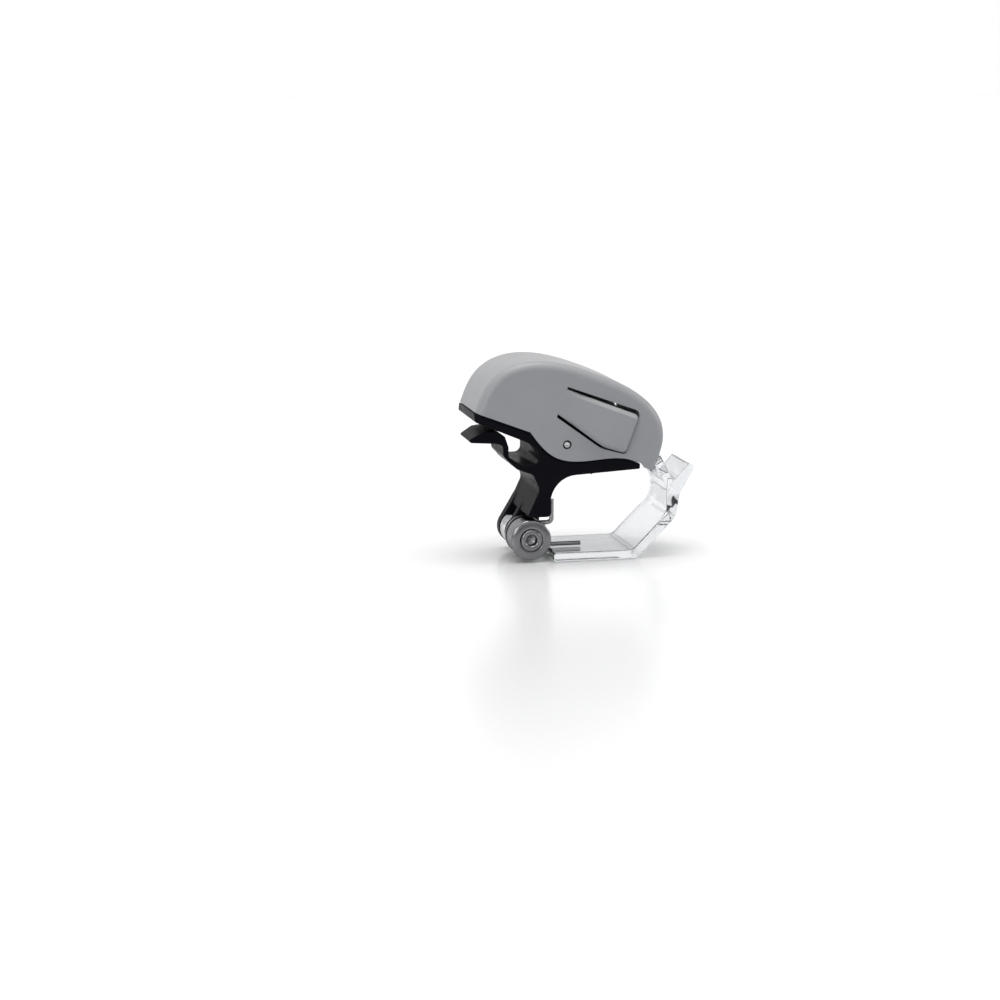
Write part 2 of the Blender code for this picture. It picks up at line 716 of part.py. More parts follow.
# Hinge hardware

def make_hinge_pin(hinge_axis, material):
    """Tubular rivet: a rolled head with a hollow on the near side, peened over on the far side."""
    stack = hinge_stack()
    near, seat = stack["head"]
    far = HALF_FRAME + PIN_FIT
    profile = [
        (0.0, near + PIN_HOLLOW_DEPTH),
        (PIN_HOLLOW_RADIUS, near + PIN_HOLLOW_DEPTH - 0.0004),
        (PIN_HOLLOW_RADIUS, near + 0.0005),
        (PIN_HOLLOW_RADIUS + 0.0005, near),
        (PIN_HEAD_RADIUS - 0.0004, near),
        (PIN_HEAD_RADIUS, near + 0.0003),
        (PIN_HEAD_RADIUS, seat),
        (PIN_RADIUS, seat),
        (PIN_RADIUS, far),
        (PIN_PEEN_RADIUS, far),
        (PIN_PEEN_RADIUS * 0.8, far + PIN_PEEN_THICKNESS * 0.8),
        (PIN_PEEN_RADIUS * 0.4, far + PIN_PEEN_THICKNESS),
        (0.0, far + PIN_PEEN_THICKNESS),
    ]
    return turned("hinge_pin", profile, hinge_axis, material=material)


def make_washer(name, span, radius, hinge_axis, material):
    """A flat washer on the hinge pin."""
    near, far = span
    hole = PIN_RADIUS + PIN_FIT
    profile = [(hole, near), (radius, near), (radius, far), (hole, far), (hole, near)]
    return turned(name, profile, hinge_axis, material=material)


def make_cross_pin(body_axis, material):
    """The pin that holds the shell to the frame, its ends just inside the shell's faces."""
    half = HALF_SHELL - CROSS_PIN_RECESS
    centre = (CROSS_PIN_POSITION, CROSS_PIN_HEIGHT)
    chamfer = CROSS_PIN_RADIUS * 0.25
    profile = [
        (0.0, -half),
        (CROSS_PIN_RADIUS - chamfer, -half),
        (CROSS_PIN_RADIUS, -half + chamfer),
        (CROSS_PIN_RADIUS, half - chamfer),
        (CROSS_PIN_RADIUS - chamfer, half),
        (0.0, half),
    ]
    return turned("cross_pin", profile, body_axis, centre, material=material)


def bent(before, corner, after, radius, steps=4):
    """Points of a wire's round bend at a corner."""
    corner = Vector(corner)
    first = (Vector(before) - corner).normalized()
    second = (Vector(after) - corner).normalized()
    angle = first.angle(second)
    set_back = radius / math.tan(angle / 2)
    centre = corner + (first + second).normalized() * (radius / math.sin(angle / 2))
    start = corner + first * set_back - centre
    end = corner + second * set_back - centre
    turn = start.angle(end)
    axis = start.cross(end)
    turns = [Matrix.Rotation(turn * i / steps, 3, axis) for i in range(steps + 1)]
    return [centre + rotation @ start for rotation in turns]


def spring_path():
    """Middle line of the torsion spring: frame leg, coil, jaw leg."""
    near, far = hinge_stack()["spring"]
    first_y = near + SPRING_WIRE / 2
    last_y = far - SPRING_WIRE / 2
    leg_x = NECK_RIGHT + SPRING_WIRE / 2 + SEAM / 2
    corner = (leg_x, first_y, SPRING_RADIUS)
    top = (leg_x, first_y, SPRING_FRAME_LEG_HEIGHT)
    start = (0.0, first_y, SPRING_RADIUS)
    path = [Vector(top)] + bent(top, corner, start, SPRING_WIRE)
    sweep = SPRING_TURNS * 2 * math.pi + math.pi + SPRING_EXIT_ANGLE
    steps = SPRING_TURNS * 18 + 10
    for i in range(steps + 1):
        a = math.pi / 2 + sweep * i / steps
        y = first_y + (last_y - first_y) * i / steps
        path.append(Vector((SPRING_RADIUS * math.cos(a), y, SPRING_RADIUS * math.sin(a))))
    leg_z = -HINGE_HEIGHT + JAW_THICKNESS + SPRING_WIRE / 2 + SEAM
    exit_point = path[-1]
    run = (leg_z - exit_point.z) / math.tan(SPRING_EXIT_ANGLE)
    knee = (exit_point.x + run, last_y, leg_z)
    end = (SPRING_JAW_LEG_REACH, last_y, leg_z)
    path += bent(exit_point, knee, end, SPRING_WIRE * 2, 2)
    path.append(Vector(end))
    return path


def make_spring(hinge_axis, material):
    """The torsion spring that throws the lower jaw open."""
    curve = bpy.data.curves.new("torsion_spring", "CURVE")
    curve.dimensions = "3D"
    curve.bevel_depth = SPRING_WIRE / 2
    curve.bevel_resolution = 2
    curve.use_fill_caps = True
    path = spring_path()
    spline = curve.splines.new("POLY")
    spline.points.add(len(path) - 1)
    for point, place in zip(spline.points, path):
        point.co = (*place, 1.0)
    mesh = curve_to_mesh("torsion_spring", curve)
    finish_mesh(mesh, 50.0)
    return add_mesh_object("torsion_spring", mesh, hinge_axis, False, material)


# Lower jaw

def jaw_outline():
    """Side outline of the jaw's floor, slanted corner, upright and thumb lip, from the hinge axis."""
    ground = -HINGE_HEIGHT
    t = JAW_THICKNESS
    slant_x = JAW_CORNER_X
    slant_z = ground + JAW_CORNER_RISE
    step = t * math.tan(math.pi / 8)
    upright = JAW_UPRIGHT_X
    return rounded([
        (JAW_FLOOR_START, ground, 0.0006),
        (JAW_FLOOR_END, ground, 0.0020),
        (slant_x, slant_z, 0.0030),
        (upright + t * 0.9, JAW_UPRIGHT_TOP - t, 0.0016),
        (upright + JAW_LIP_REACH, JAW_UPRIGHT_TOP + JAW_LIP_RISE - t * 0.3, 0.0006),
        (upright + JAW_LIP_REACH - t * 0.7, JAW_UPRIGHT_TOP + JAW_LIP_RISE + t * 0.1, 0.0006),
        (upright + t * 0.15, JAW_UPRIGHT_TOP + t * 0.4, 0.0006),
        (upright - t * 0.6, JAW_UPRIGHT_TOP + t * 0.6, 0.0),
        (upright - t * 0.75, JAW_UPRIGHT_TOP - t * 1.2, 0.0030),
        (slant_x - t * 0.95, slant_z + t * 0.6, 0.0030),
        (JAW_FLOOR_END - step, ground + t, 0.0020),
        (JAW_FLOOR_START, ground + t, 0.0006),
    ])


def prong_outline():
    """Side outline of the curved prongs, about the hinge axis."""
    start = math.asin(JAW_UPRIGHT_TOP / PRONG_RADIUS) - math.radians(4.0)
    steps = 10
    angles = [start + (PRONG_TIP_ANGLE - start) * i / steps for i in range(steps + 1)]
    inner = PRONG_RADIUS - PRONG_THICKNESS
    outer_points = [(PRONG_RADIUS * math.cos(a), PRONG_RADIUS * math.sin(a)) for a in angles]
    inner_points = [(inner * math.cos(a), inner * math.sin(a)) for a in reversed(angles)]
    return outer_points + inner_points


def prong_gap_outline():
    """Toothed space between the prongs, seen along the middle of their arc."""
    half = PRONG_SPREAD / 2 - PRONG_WIDTH
    length = PRONG_RADIUS * (PRONG_TIP_ANGLE - PRONG_CROTCH_ANGLE)
    first = length - TOOTH_COUNT * TOOTH_PITCH - 0.0006
    right = [(half, 0.0), (half, first)]
    for i in range(TOOTH_COUNT):
        base = first + i * TOOTH_PITCH
        right.append((half - TOOTH_DEPTH, base + TOOTH_PITCH * 0.08))
        right.append((half - TOOTH_DEPTH, base + TOOTH_PITCH * 0.25))
        right.append((half, base + TOOTH_PITCH * 0.92))
    right.append((half, length + 0.004))
    left = [(-y, t) for y, t in reversed(right)]
    return right + left


def make_prong_gap(hinge_axis):
    """Cutter for the space between the prongs."""
    middle = (PRONG_TIP_ANGLE + PRONG_CROTCH_ANGLE) / 2
    cutter = plate("prong_gap", [prong_gap_outline()], -0.006, 0.006, hinge_axis, cutter=True)
    # The outline's x runs along the width of the prongs and its z along their arc.
    outwards = Vector((math.cos(middle), 0.0, math.sin(middle)))
    along = Vector((-math.sin(middle), 0.0, math.cos(middle)))
    sideways = Vector((0.0, 1.0, 0.0))
    base = Vector((math.cos(PRONG_CROTCH_ANGLE), 0.0, math.sin(PRONG_CROTCH_ANGLE)))
    centre = base * (PRONG_RADIUS - PRONG_THICKNESS / 2)
    frame = Matrix((sideways, -outwards, along)).transposed().to_4x4()
    cutter.data.transform(Matrix.Translation(centre) @ frame)
    finish_mesh(cutter.data)
    return cutter


def jaw_side_trim(side, hinge_axis):
    """Cutter that narrows the upright on one side to the width of the prongs."""
    outside = JAW_WIDTH / 2 + JAW_THICKNESS / 2
    start = -HINGE_HEIGHT + JAW_CORNER_RISE - JAW_THICKNESS / 2
    shoulder = start + JAW_SHOULDER_RISE
    outline = [
        (side * outside, start),
        (side * JAW_UPRIGHT_WIDTH / 2, shoulder),
        (side * JAW_UPRIGHT_WIDTH / 2, PRONG_RADIUS),
        (side * outside, PRONG_RADIUS),
    ]
    near = JAW_CORNER_X - JAW_CORNER_RISE
    far = JAW_UPRIGHT_X + JAW_LIP_REACH * 2
    name = f"upright_trim_{'far' if side > 0 else 'near'}"
    cutter = plate(name, [outline], near, far, hinge_axis, cutter=True)
    cutter.data.transform(Matrix(((0, 1, 0, 0), (1, 0, 0, 0), (0, 0, 1, 0), (0, 0, 0, 1))))
    finish_mesh(cutter.data)
    return cutter


def make_jaw(hinge_axis, material):
    """The clear lower jaw with its knuckle, thumb lip and toothed prongs."""
    stack = hinge_stack()
    half = JAW_WIDTH / 2
    jaw = plate("lower_jaw", [jaw_outline()], -half, half, hinge_axis, JAW_EDGE, 1, False, material)
    boolean(jaw, "UNION", plate("prongs", [prong_outline()], -PRONG_SPREAD / 2, PRONG_SPREAD / 2,
                                hinge_axis, cutter=True))
    for side in (-1, 1):
        boolean(jaw, "DIFFERENCE", jaw_side_trim(side, hinge_axis))
    boolean(jaw, "DIFFERENCE", make_prong_gap(hinge_axis))
    near, far = stack["knuckle"]
    web = [
        (JAW_FLOOR_START + JAW_THICKNESS * 0.7, -HINGE_HEIGHT + JAW_THICKNESS * 0.2),
        (JAW_FLOOR_START + JAW_THICKNESS * 0.9, -HINGE_HEIGHT + JAW_THICKNESS * 0.8),
    ]
    eye = arc(KNUCKLE_RADIUS, math.radians(-15), math.radians(270))
    boolean(jaw, "UNION", plate("knuckle", [web + eye], near, far, hinge_axis, cutter=True))
    hole = bar("knuckle_hole", PIN_RADIUS + PIN_FIT, near - SHELL_WALL, far + SHELL_WALL, hinge_axis)
    boolean(jaw, "DIFFERENCE", hole)
    return jaw


def build():
    """Make every piece of the clip."""
    grey = make_material("grey_moulding", (0.27, 0.28, 0.30), 0.42)
    black = make_material("black_moulding", (0.015, 0.015, 0.018), 0.35)
    clear = make_material("clear_moulding", (0.85, 0.87, 0.90), 0.06, transmission=1.0)
    steel = make_material("bright_steel", (0.72, 0.72, 0.73), 0.18, metallic=1.0)

    hinge_axis = add_empty("hinge_axis", (HINGE_X, 0.0, HINGE_HEIGHT))
    body_axis = add_empty("body_axis", (-NOSE_REACH, 0.0, NOSE_HEIGHT), hinge_axis, PITCH)
    bpy.context.view_layer.update()
    stack = hinge_stack()

    make_shell(body_axis, hinge_axis, grey)
    near_tab = make_tab("squeeze_tab_near", body_axis, grey)
    make_far_tab(near_tab, "squeeze_tab_far", body_axis, grey)
    make_frame(hinge_axis, body_axis, black)
    make_jaw(hinge_axis, clear)
    make_hinge_pin(hinge_axis, steel)
    make_washer("spring_washer_near", stack["near_washer"], WASHER_RADIUS, hinge_axis, steel)
    make_washer("spring_washer_inner", stack["inner_washer"], INNER_WASHER_RADIUS, hinge_axis, steel)
    make_spring(hinge_axis, steel)
    make_cross_pin(body_axis, steel)
    bpy.context.view_layer.update()


build()
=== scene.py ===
"""Cable clip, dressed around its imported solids.

Every piece is drawn again, finer than its solid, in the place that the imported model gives. The
clip stands closed on the flat underside of its clear lower jaw. Metres, +Z up.
"""

import json
import logging
import math
from dataclasses import dataclass, field
from enum import Enum
from functools import cache
from typing import Callable, Iterable

import bmesh
import bpy
from mathutils import Matrix, Vector


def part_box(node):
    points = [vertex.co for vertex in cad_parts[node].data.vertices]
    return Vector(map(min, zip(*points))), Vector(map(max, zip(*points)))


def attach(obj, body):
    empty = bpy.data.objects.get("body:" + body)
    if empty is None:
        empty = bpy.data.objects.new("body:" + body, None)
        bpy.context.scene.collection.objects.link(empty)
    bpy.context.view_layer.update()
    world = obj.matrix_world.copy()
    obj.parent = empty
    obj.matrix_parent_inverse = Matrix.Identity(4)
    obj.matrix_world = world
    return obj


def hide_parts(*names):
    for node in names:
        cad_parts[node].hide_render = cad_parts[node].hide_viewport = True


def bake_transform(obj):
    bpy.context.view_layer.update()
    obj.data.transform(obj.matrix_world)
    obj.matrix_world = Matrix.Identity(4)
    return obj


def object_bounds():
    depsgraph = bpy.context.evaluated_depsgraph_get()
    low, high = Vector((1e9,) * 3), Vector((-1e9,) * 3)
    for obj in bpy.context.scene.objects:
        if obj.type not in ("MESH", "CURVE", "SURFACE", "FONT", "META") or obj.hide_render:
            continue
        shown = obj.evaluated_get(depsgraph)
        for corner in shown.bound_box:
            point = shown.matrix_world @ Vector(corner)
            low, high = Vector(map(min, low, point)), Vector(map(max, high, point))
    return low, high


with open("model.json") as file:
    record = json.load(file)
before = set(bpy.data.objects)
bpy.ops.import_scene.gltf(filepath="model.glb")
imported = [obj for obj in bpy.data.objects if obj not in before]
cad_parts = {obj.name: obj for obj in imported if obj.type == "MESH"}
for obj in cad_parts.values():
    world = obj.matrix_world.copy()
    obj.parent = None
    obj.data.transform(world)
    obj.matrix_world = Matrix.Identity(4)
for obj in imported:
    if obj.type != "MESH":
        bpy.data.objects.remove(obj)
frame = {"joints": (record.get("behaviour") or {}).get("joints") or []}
CAD_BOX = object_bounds()

LOG = logging.getLogger("cable_clip")
Point = tuple[float, float]
Corner = tuple[float, float, float]
Socket = bpy.types.NodeSocket
Material = bpy.types.Material
Form = bmesh.types.BMesh
Thing = bpy.types.Object
Tree = bpy.types.NodeTree
MM = 0.001

JAW_JOINT = next(joint for joint in frame["joints"] if joint["name"] == "jaw_hinge")
HINGE = Vector(JAW_JOINT["pos_m"])


class Side(Enum):
    """The two sides of the clip, with the sign of Y on each."""

    NEAR = -1
    FAR = 1


class Slot(Enum):
    """Material slots of the record."""

    GREY = "grey_moulding"
    BLACK = "black_moulding"
    CLEAR = "clear_moulding"
    STEEL = "bright_steel"


# Outlines


@dataclass(frozen=True)
class Pitch:
    """How the upper half lies over the hinge."""

    angle: float = math.radians(20.6)
    nose_reach: float = 12.4 * MM
    nose_height: float = 28.4 * MM

    def matrix(self) -> Matrix:
        """Placement of the level upper half in the world."""
        nose = HINGE + Vector((-self.nose_reach, 0.0, self.nose_height))
        return Matrix.Translation(nose) @ Matrix.Rotation(self.angle, 4, "Y")

    def point(self, along: float, up: float) -> Point:
        """A point of the level upper half, as seen from the hinge axis.

        Args:
            along: distance from the nose towards the tail.
            up: height above the flange line.

        Returns:
            The point's x and z from the hinge axis.
        """
        x = -self.nose_reach + along * math.cos(self.angle) + up * math.sin(self.angle)
        z = self.nose_height - along * math.sin(self.angle) + up * math.cos(self.angle)
        return x, z


class Outline:
    """Helpers that give the points of flat outlines."""

    @staticmethod
    def arc(
        radius: float, start: float, end: float, centre: Point = (0.0, 0.0), step: float = 5.0
    ) -> list[Point]:
        """Points along an arc.

        Args:
            radius: radius of the arc.
            start: angle of its first point.
            end: angle of its last point.
            centre: its centre.
            step: largest angle between points, in degrees.

        Returns:
            The points, both ends included.
        """
        steps = max(2, math.ceil(abs(end - start) / math.radians(step)))
        angles = [start + (end - start) * i / steps for i in range(steps + 1)]
        return [(centre[0] + radius * math.cos(a), centre[1] + radius * math.sin(a)) for a in angles]

    @classmethod
    def rounded(cls, corners: list[Corner]) -> list[Point]:
        """Closed outline whose corners are rounded.

        Args:
            corners: x, z and rounding radius of each corner.

        Returns:
            The points of the outline.
        """
        points: list[Point] = []
        count = len(corners)
        for i, (x, z, radius) in enumerate(corners):
            if radius <= 0:
                points.append((x, z))
                continue
            corner = Vector((x, z))
            before = (Vector(corners[i - 1][:2]) - corner).normalized()
            after = (Vector(corners[(i + 1) % count][:2]) - corner).normalized()
            angle = before.angle(after)
            set_back = radius / math.tan(angle / 2)
            centre = corner + (before + after).normalized() * (radius / math.sin(angle / 2))
            first = corner + before * set_back - centre
            last = corner + after * set_back - centre
            start = math.atan2(first.y, first.x)
            sweep = (math.atan2(last.y, last.x) - start + math.pi) % (2 * math.pi) - math.pi
            points.extend(cls.arc(radius, start, start + sweep, (centre.x, centre.y)))
        return points

    @staticmethod
    def cleaned(points: list[Point]) -> list[Point]:
        """The outline without points that lie on the one before."""
        kept: list[Point] = []
        for point in points:
            if not kept or math.dist(point, kept[-1]) > 2e-6:
                kept.append(point)
        if math.dist(kept[0], kept[-1]) <= 2e-6:
            kept.pop()
        return kept

    @staticmethod
    def inset(points: list[Point], distance: float) -> list[Point]:
        """The outline drawn in along its corners' bisectors.

        Args:
            points: the outline, without doubles.
            distance: how far it is drawn in.

        Returns:
            As many points as before.
        """
        area = sum(a[0] * b[1] - b[0] * a[1] for a, b in zip(points, points[1:] + points[:1]))
        inwards = math.copysign(1.0, area)
        drawn: list[Point] = []
        for i, point in enumerate(points):
            here = Vector(point)
            before = here - Vector(points[i - 1])
            after = Vector(points[(i + 1) % len(points)]) - here
            first = Vector((-before.y, before.x)).normalized() * inwards
            second = Vector((-after.y, after.x)).normalized() * inwards
            here += (first + second) * (distance / (1.0 + first.dot(second)))
            drawn.append((here.x, here.y))
        return drawn


# Meshes


class Workshop:
    """Helpers that make and join meshes."""

    rim_steps: int = 4

    @classmethod
    def slab(
        cls,
        points: list[Point],
        near: float,
        far: float,
        rims: tuple[float, float] = (0.0, 0.0),
        flatness: float = 1.0,
    ) -> Form:
        """An outline in the XZ plane, extruded along Y step by step.

        Args:
            points: the outline.
            near: lower Y.
            far: higher Y.
            rims: rounding of the rims at the lower and the higher Y.
            flatness: 1 for round rims, towards 2 for chamfers.

        Returns:
            A closed bmesh.
        """
        outline = Outline.cleaned(points)
        steps: list[Point] = []
        for rim, start, way in ((rims[0], near, 1), (rims[1], far, -1)):
            quarter = math.pi / 2
            count = cls.rim_steps
            turns = [quarter / count * i for i in range(count + 1)] if rim else [quarter]
            arc = [(math.sin(a) ** flatness, max(math.cos(a), 0.0) ** flatness) for a in turns]
            part = [(rim - rim * x, start + way * (rim - rim * y)) for x, y in arc]
            steps += part[::way]
        work = bmesh.new()
        ring = [work.verts.new((x, steps[0][1], z)) for x, z in Outline.inset(outline, steps[0][0])]
        face = work.faces.new(ring)
        for step, (drawn, y) in enumerate(steps[1:]):
            order = {tuple(vert.co): i for i, vert in enumerate(ring)}
            grown = bmesh.ops.extrude_face_region(work, geom=[face])["geom"]
            if step:
                bmesh.ops.delete(work, geom=[face], context="FACES_ONLY")
            face = next(item for item in grown if isinstance(item, bmesh.types.BMFace))
            verts = [item for item in grown if isinstance(item, bmesh.types.BMVert)]
            moved = {order[tuple(vert.co)]: vert for vert in verts}
            ring = [moved[i] for i in range(len(moved))]
            for vert, (x, z) in zip(ring, Outline.inset(outline, drawn)):
                vert.co = (x, y, z)
        bmesh.ops.recalc_face_normals(work, faces=work.faces)
        return work

    @staticmethod
    def prism(ring: list[Vector], shift: Vector) -> Form:
        """A flat ring of points, extruded by a shift into a closed bmesh."""
        work = bmesh.new()
        face = work.faces.new([work.verts.new(point) for point in ring])
        grown = bmesh.ops.extrude_face_region(work, geom=[face])["geom"]
        moved = [item for item in grown if isinstance(item, bmesh.types.BMVert)]
        bmesh.ops.translate(work, verts=moved, vec=shift)
        bmesh.ops.recalc_face_normals(work, faces=work.faces)
        return work

    @classmethod
    def standing(cls, points: list[Point], low: float, high: float) -> Form:
        """An outline in the XY plane, extruded along Z from low to high."""
        return cls.prism([Vector((x, y, low)) for x, y in points], Vector((0.0, 0.0, high - low)))

    @staticmethod
    def lathe(profile: list[Point], centre: Point = (0.0, 0.0), sides: int = 96) -> Form:
        """A profile of radius and y turned about an axis along Y.

        Args:
            profile: radius and y of each point.
            centre: x and z of the axis.
            sides: number of sides of the round.

        Returns:
            A closed bmesh.
        """
        work = bmesh.new()
        ring = [work.verts.new((radius, y, 0.0)) for radius, y in profile]
        edges = [work.edges.new(pair) for pair in zip(ring, ring[1:])]
        bmesh.ops.spin(
            work, geom=ring + edges, cent=(0, 0, 0), axis=(0, 1, 0), dvec=(0, 0, 0),
            angle=2 * math.pi, steps=sides, use_merge=True, use_duplicate=False,
        )
        bmesh.ops.remove_doubles(work, verts=work.verts, dist=1e-7)
        bmesh.ops.translate(work, verts=work.verts, vec=(centre[0], 0.0, centre[1]))
        bmesh.ops.recalc_face_normals(work, faces=work.faces)
        return work

    @classmethod
    def rod(
        cls, radius: float, near: float, far: float, sides: int, centre: Point = (0.0, 0.0)
    ) -> Form:
        """A round rod along Y, as a cutter for holes.

        Args:
            radius: its radius.
            near: lower Y.
            far: higher Y.
            sides: number of sides of the round.
            centre: x and z of its axis.

        Returns:
            A closed bmesh.
        """
        return cls.lathe([(0.0, near), (radius, near), (radius, far), (0.0, far)], centre, sides)

    @staticmethod
    def round_edges(
        work: Form,
        width: float,
        segments: int,
        pick: Callable[[bmesh.types.BMEdge], bool],
    ) -> None:
        """Bevel the edges that a test picks.

        Args:
            work: the mesh.
            width: how far the rounding reaches from the edge.
            segments: faces across the rounding.
            pick: says which edges are rounded.
        """
        edges = [edge for edge in work.edges if pick(edge)]
        bmesh.ops.bevel(
            work, geom=edges, offset=width, offset_type="OFFSET", segments=segments,
            profile=0.5, affect="EDGES", clamp_overlap=True, material=-1,
        )
        bmesh.ops.remove_doubles(work, verts=work.verts, dist=2e-7)

    @staticmethod
    def rim(edge: bmesh.types.BMEdge) -> bool:
        """Whether an edge lies in a plane across Y, at a marked change of direction."""
        first, second = edge.verts
        return abs(first.co.y - second.co.y) < 1e-7 and edge.calc_face_angle(0.0) > 0.8

    @staticmethod
    def thing(work: Form, name: str, place: Matrix) -> Thing:
        """An object at the origin, with its place in its mesh.

        Args:
            work: the mesh, which is freed.
            name: the object's name.
            place: where the mesh goes.

        Returns:
            The object.
        """
        bmesh.ops.transform(work, matrix=place, verts=work.verts)
        mesh = bpy.data.meshes.new(name)
        work.to_mesh(mesh)
        work.free()
        made = bpy.data.objects.new(name, mesh)
        bpy.context.scene.collection.objects.link(made)
        return made

    @classmethod
    def combine(
        cls, target: Thing, operation: str, others: Iterable[Thing]
    ) -> None:
        """Join other objects to a target or cut them from it, and remove them.

        Args:
            target: the object that is changed.
            operation: UNION, DIFFERENCE or INTERSECT.
            others: the operands.
        """
        operands = list(others)
        for other in operands:
            modifier = target.modifiers.new(other.name, "BOOLEAN")
            modifier.operation = operation
            modifier.solver = "EXACT"
            modifier.object = other
        cls.apply(target)
        for other in operands:
            mesh = other.data
            bpy.data.objects.remove(other, do_unlink=True)
            bpy.data.meshes.remove(mesh)

    @staticmethod
    def apply(target: Thing) -> None:
        """Replace an object's mesh by its evaluated one and drop its modifiers."""
        bpy.context.view_layer.update()
        evaluated = target.evaluated_get(bpy.context.evaluated_depsgraph_get())
        mesh = bpy.data.meshes.new_from_object(evaluated)
        old = target.data
        target.modifiers.clear()
        target.data = mesh
        mesh.name = target.name
        bpy.data.meshes.remove(old)

    @classmethod
    def soften(
        cls,
        target: Thing,
        width: float,
        segments: int = 2,
        angle: float = 32.0,
        keep: Callable[[Vector, Vector], bool] | None = None,
    ) -> None:
        """Round the sharp edges of a finished form.

        Args:
            target: the object.
            width: width of the rounding.
            segments: faces across it.
            angle: smallest angle in degrees between faces that is rounded.
            keep: says from an edge's ends whether it stays sharp.
        """
        mesh = target.data
        work = bmesh.new()
        work.from_mesh(mesh)
        bmesh.ops.remove_doubles(work, verts=work.verts, dist=3e-6)
        bmesh.ops.dissolve_degenerate(work, edges=work.edges, dist=2e-6)
        layer = work.edges.layers.float.new("bevel_weight_edge")
        limit = math.radians(angle)
        for edge in work.edges:
            sharp = len(edge.link_faces) == 2 and edge.calc_face_angle(0.0) > limit
            if sharp and keep and keep(edge.verts[0].co, edge.verts[1].co):
                sharp = False
            edge[layer] = 1.0 if sharp else 0.0
        work.to_mesh(mesh)
        work.free()
        modifier = target.modifiers.new("soft_edges", "BEVEL")
        modifier.limit_method = "WEIGHT"
        modifier.width = width
        modifier.segments = segments
        modifier.use_clamp_overlap = False
        modifier.harden_normals = False
        cls.apply(target)
        low, high = CAD_BOX
        for vert in target.data.vertices:
            vert.co = [min(max(value, a), b) for value, a, b in zip(vert.co, low, high)]

    @staticmethod
    def shade(target: Thing, angle: float = 30.0) -> None:
        """Shade smooth, sharp past an angle in degrees, with flat faces leading."""
        mesh = target.data
        mesh.shade_smooth()
        mesh.set_sharp_from_angle(angle=math.radians(angle))
        modifier = target.modifiers.new("flat_faces_lead", "WEIGHTED_NORMAL")
        modifier.keep_sharp = True
        modifier.mode = "FACE_AREA"


# Shader groups


class NodeTools:
    """Helpers for node trees."""

    @staticmethod
    def group(name: str, inputs: dict[str, float], outputs: dict[str, str]) -> Tree:
        """A new shader node group.

        Args:
            name: the group's name.
            inputs: names and defaults of its number inputs.
            outputs: names and socket types of its outputs.

        Returns:
            The group, with its input and output nodes.
        """
        tree = bpy.data.node_groups.new(name, "ShaderNodeTree")
        for label, value in inputs.items():
            socket = tree.interface.new_socket(label, in_out="INPUT", socket_type="NodeSocketFloat")
            socket.default_value = value
        for label, kind in outputs.items():
            tree.interface.new_socket(label, in_out="OUTPUT", socket_type=kind)
        tree.nodes.new("NodeGroupInput").name = "in"
        tree.nodes.new("NodeGroupOutput").name = "out"
        return tree

    @staticmethod
    def coordinates(tree: Tree) -> Socket:
        """Coordinates of the piece itself."""
        return tree.nodes.new("ShaderNodeTexCoord").outputs["Object"]

    @staticmethod
    def feed(tree: Tree, socket: Socket, value: object) -> None:
        """Set an input to a number, or link another socket to it."""
        if isinstance(value, (int, float)):
            socket.default_value = value
        else:
            tree.links.new(value, socket)

    @classmethod
    def math(cls, tree: Tree, kind: str, first: object, second: object = 0.0) -> object:
        """A math node on sockets or numbers.

        Args:
            tree: where the node goes.
            kind: the node's operation.
            first: a socket or a number.
            second: a socket or a number.

        Returns:
            The node's output socket.
        """
        node = tree.nodes.new("ShaderNodeMath")
        node.operation = kind
        for index, value in enumerate((first, second)):
            cls.feed(tree, node.inputs[index], value)
        return node.outputs[0]

    @classmethod
    def noise(cls, tree: Tree, vector: object, scale: object, detail: float = 2.0) -> object:
        """A noise texture.

        Args:
            tree: where the node goes.
            vector: the coordinates' socket.
            scale: a socket or a number.
            detail: octaves of the noise.

        Returns:
            The node's factor socket.
        """
        node = tree.nodes.new("ShaderNodeTexNoise")
        node.inputs["Detail"].default_value = detail
        tree.links.new(vector, node.inputs["Vector"])
        cls.feed(tree, node.inputs["Scale"], scale)
        return node.outputs["Fac"]


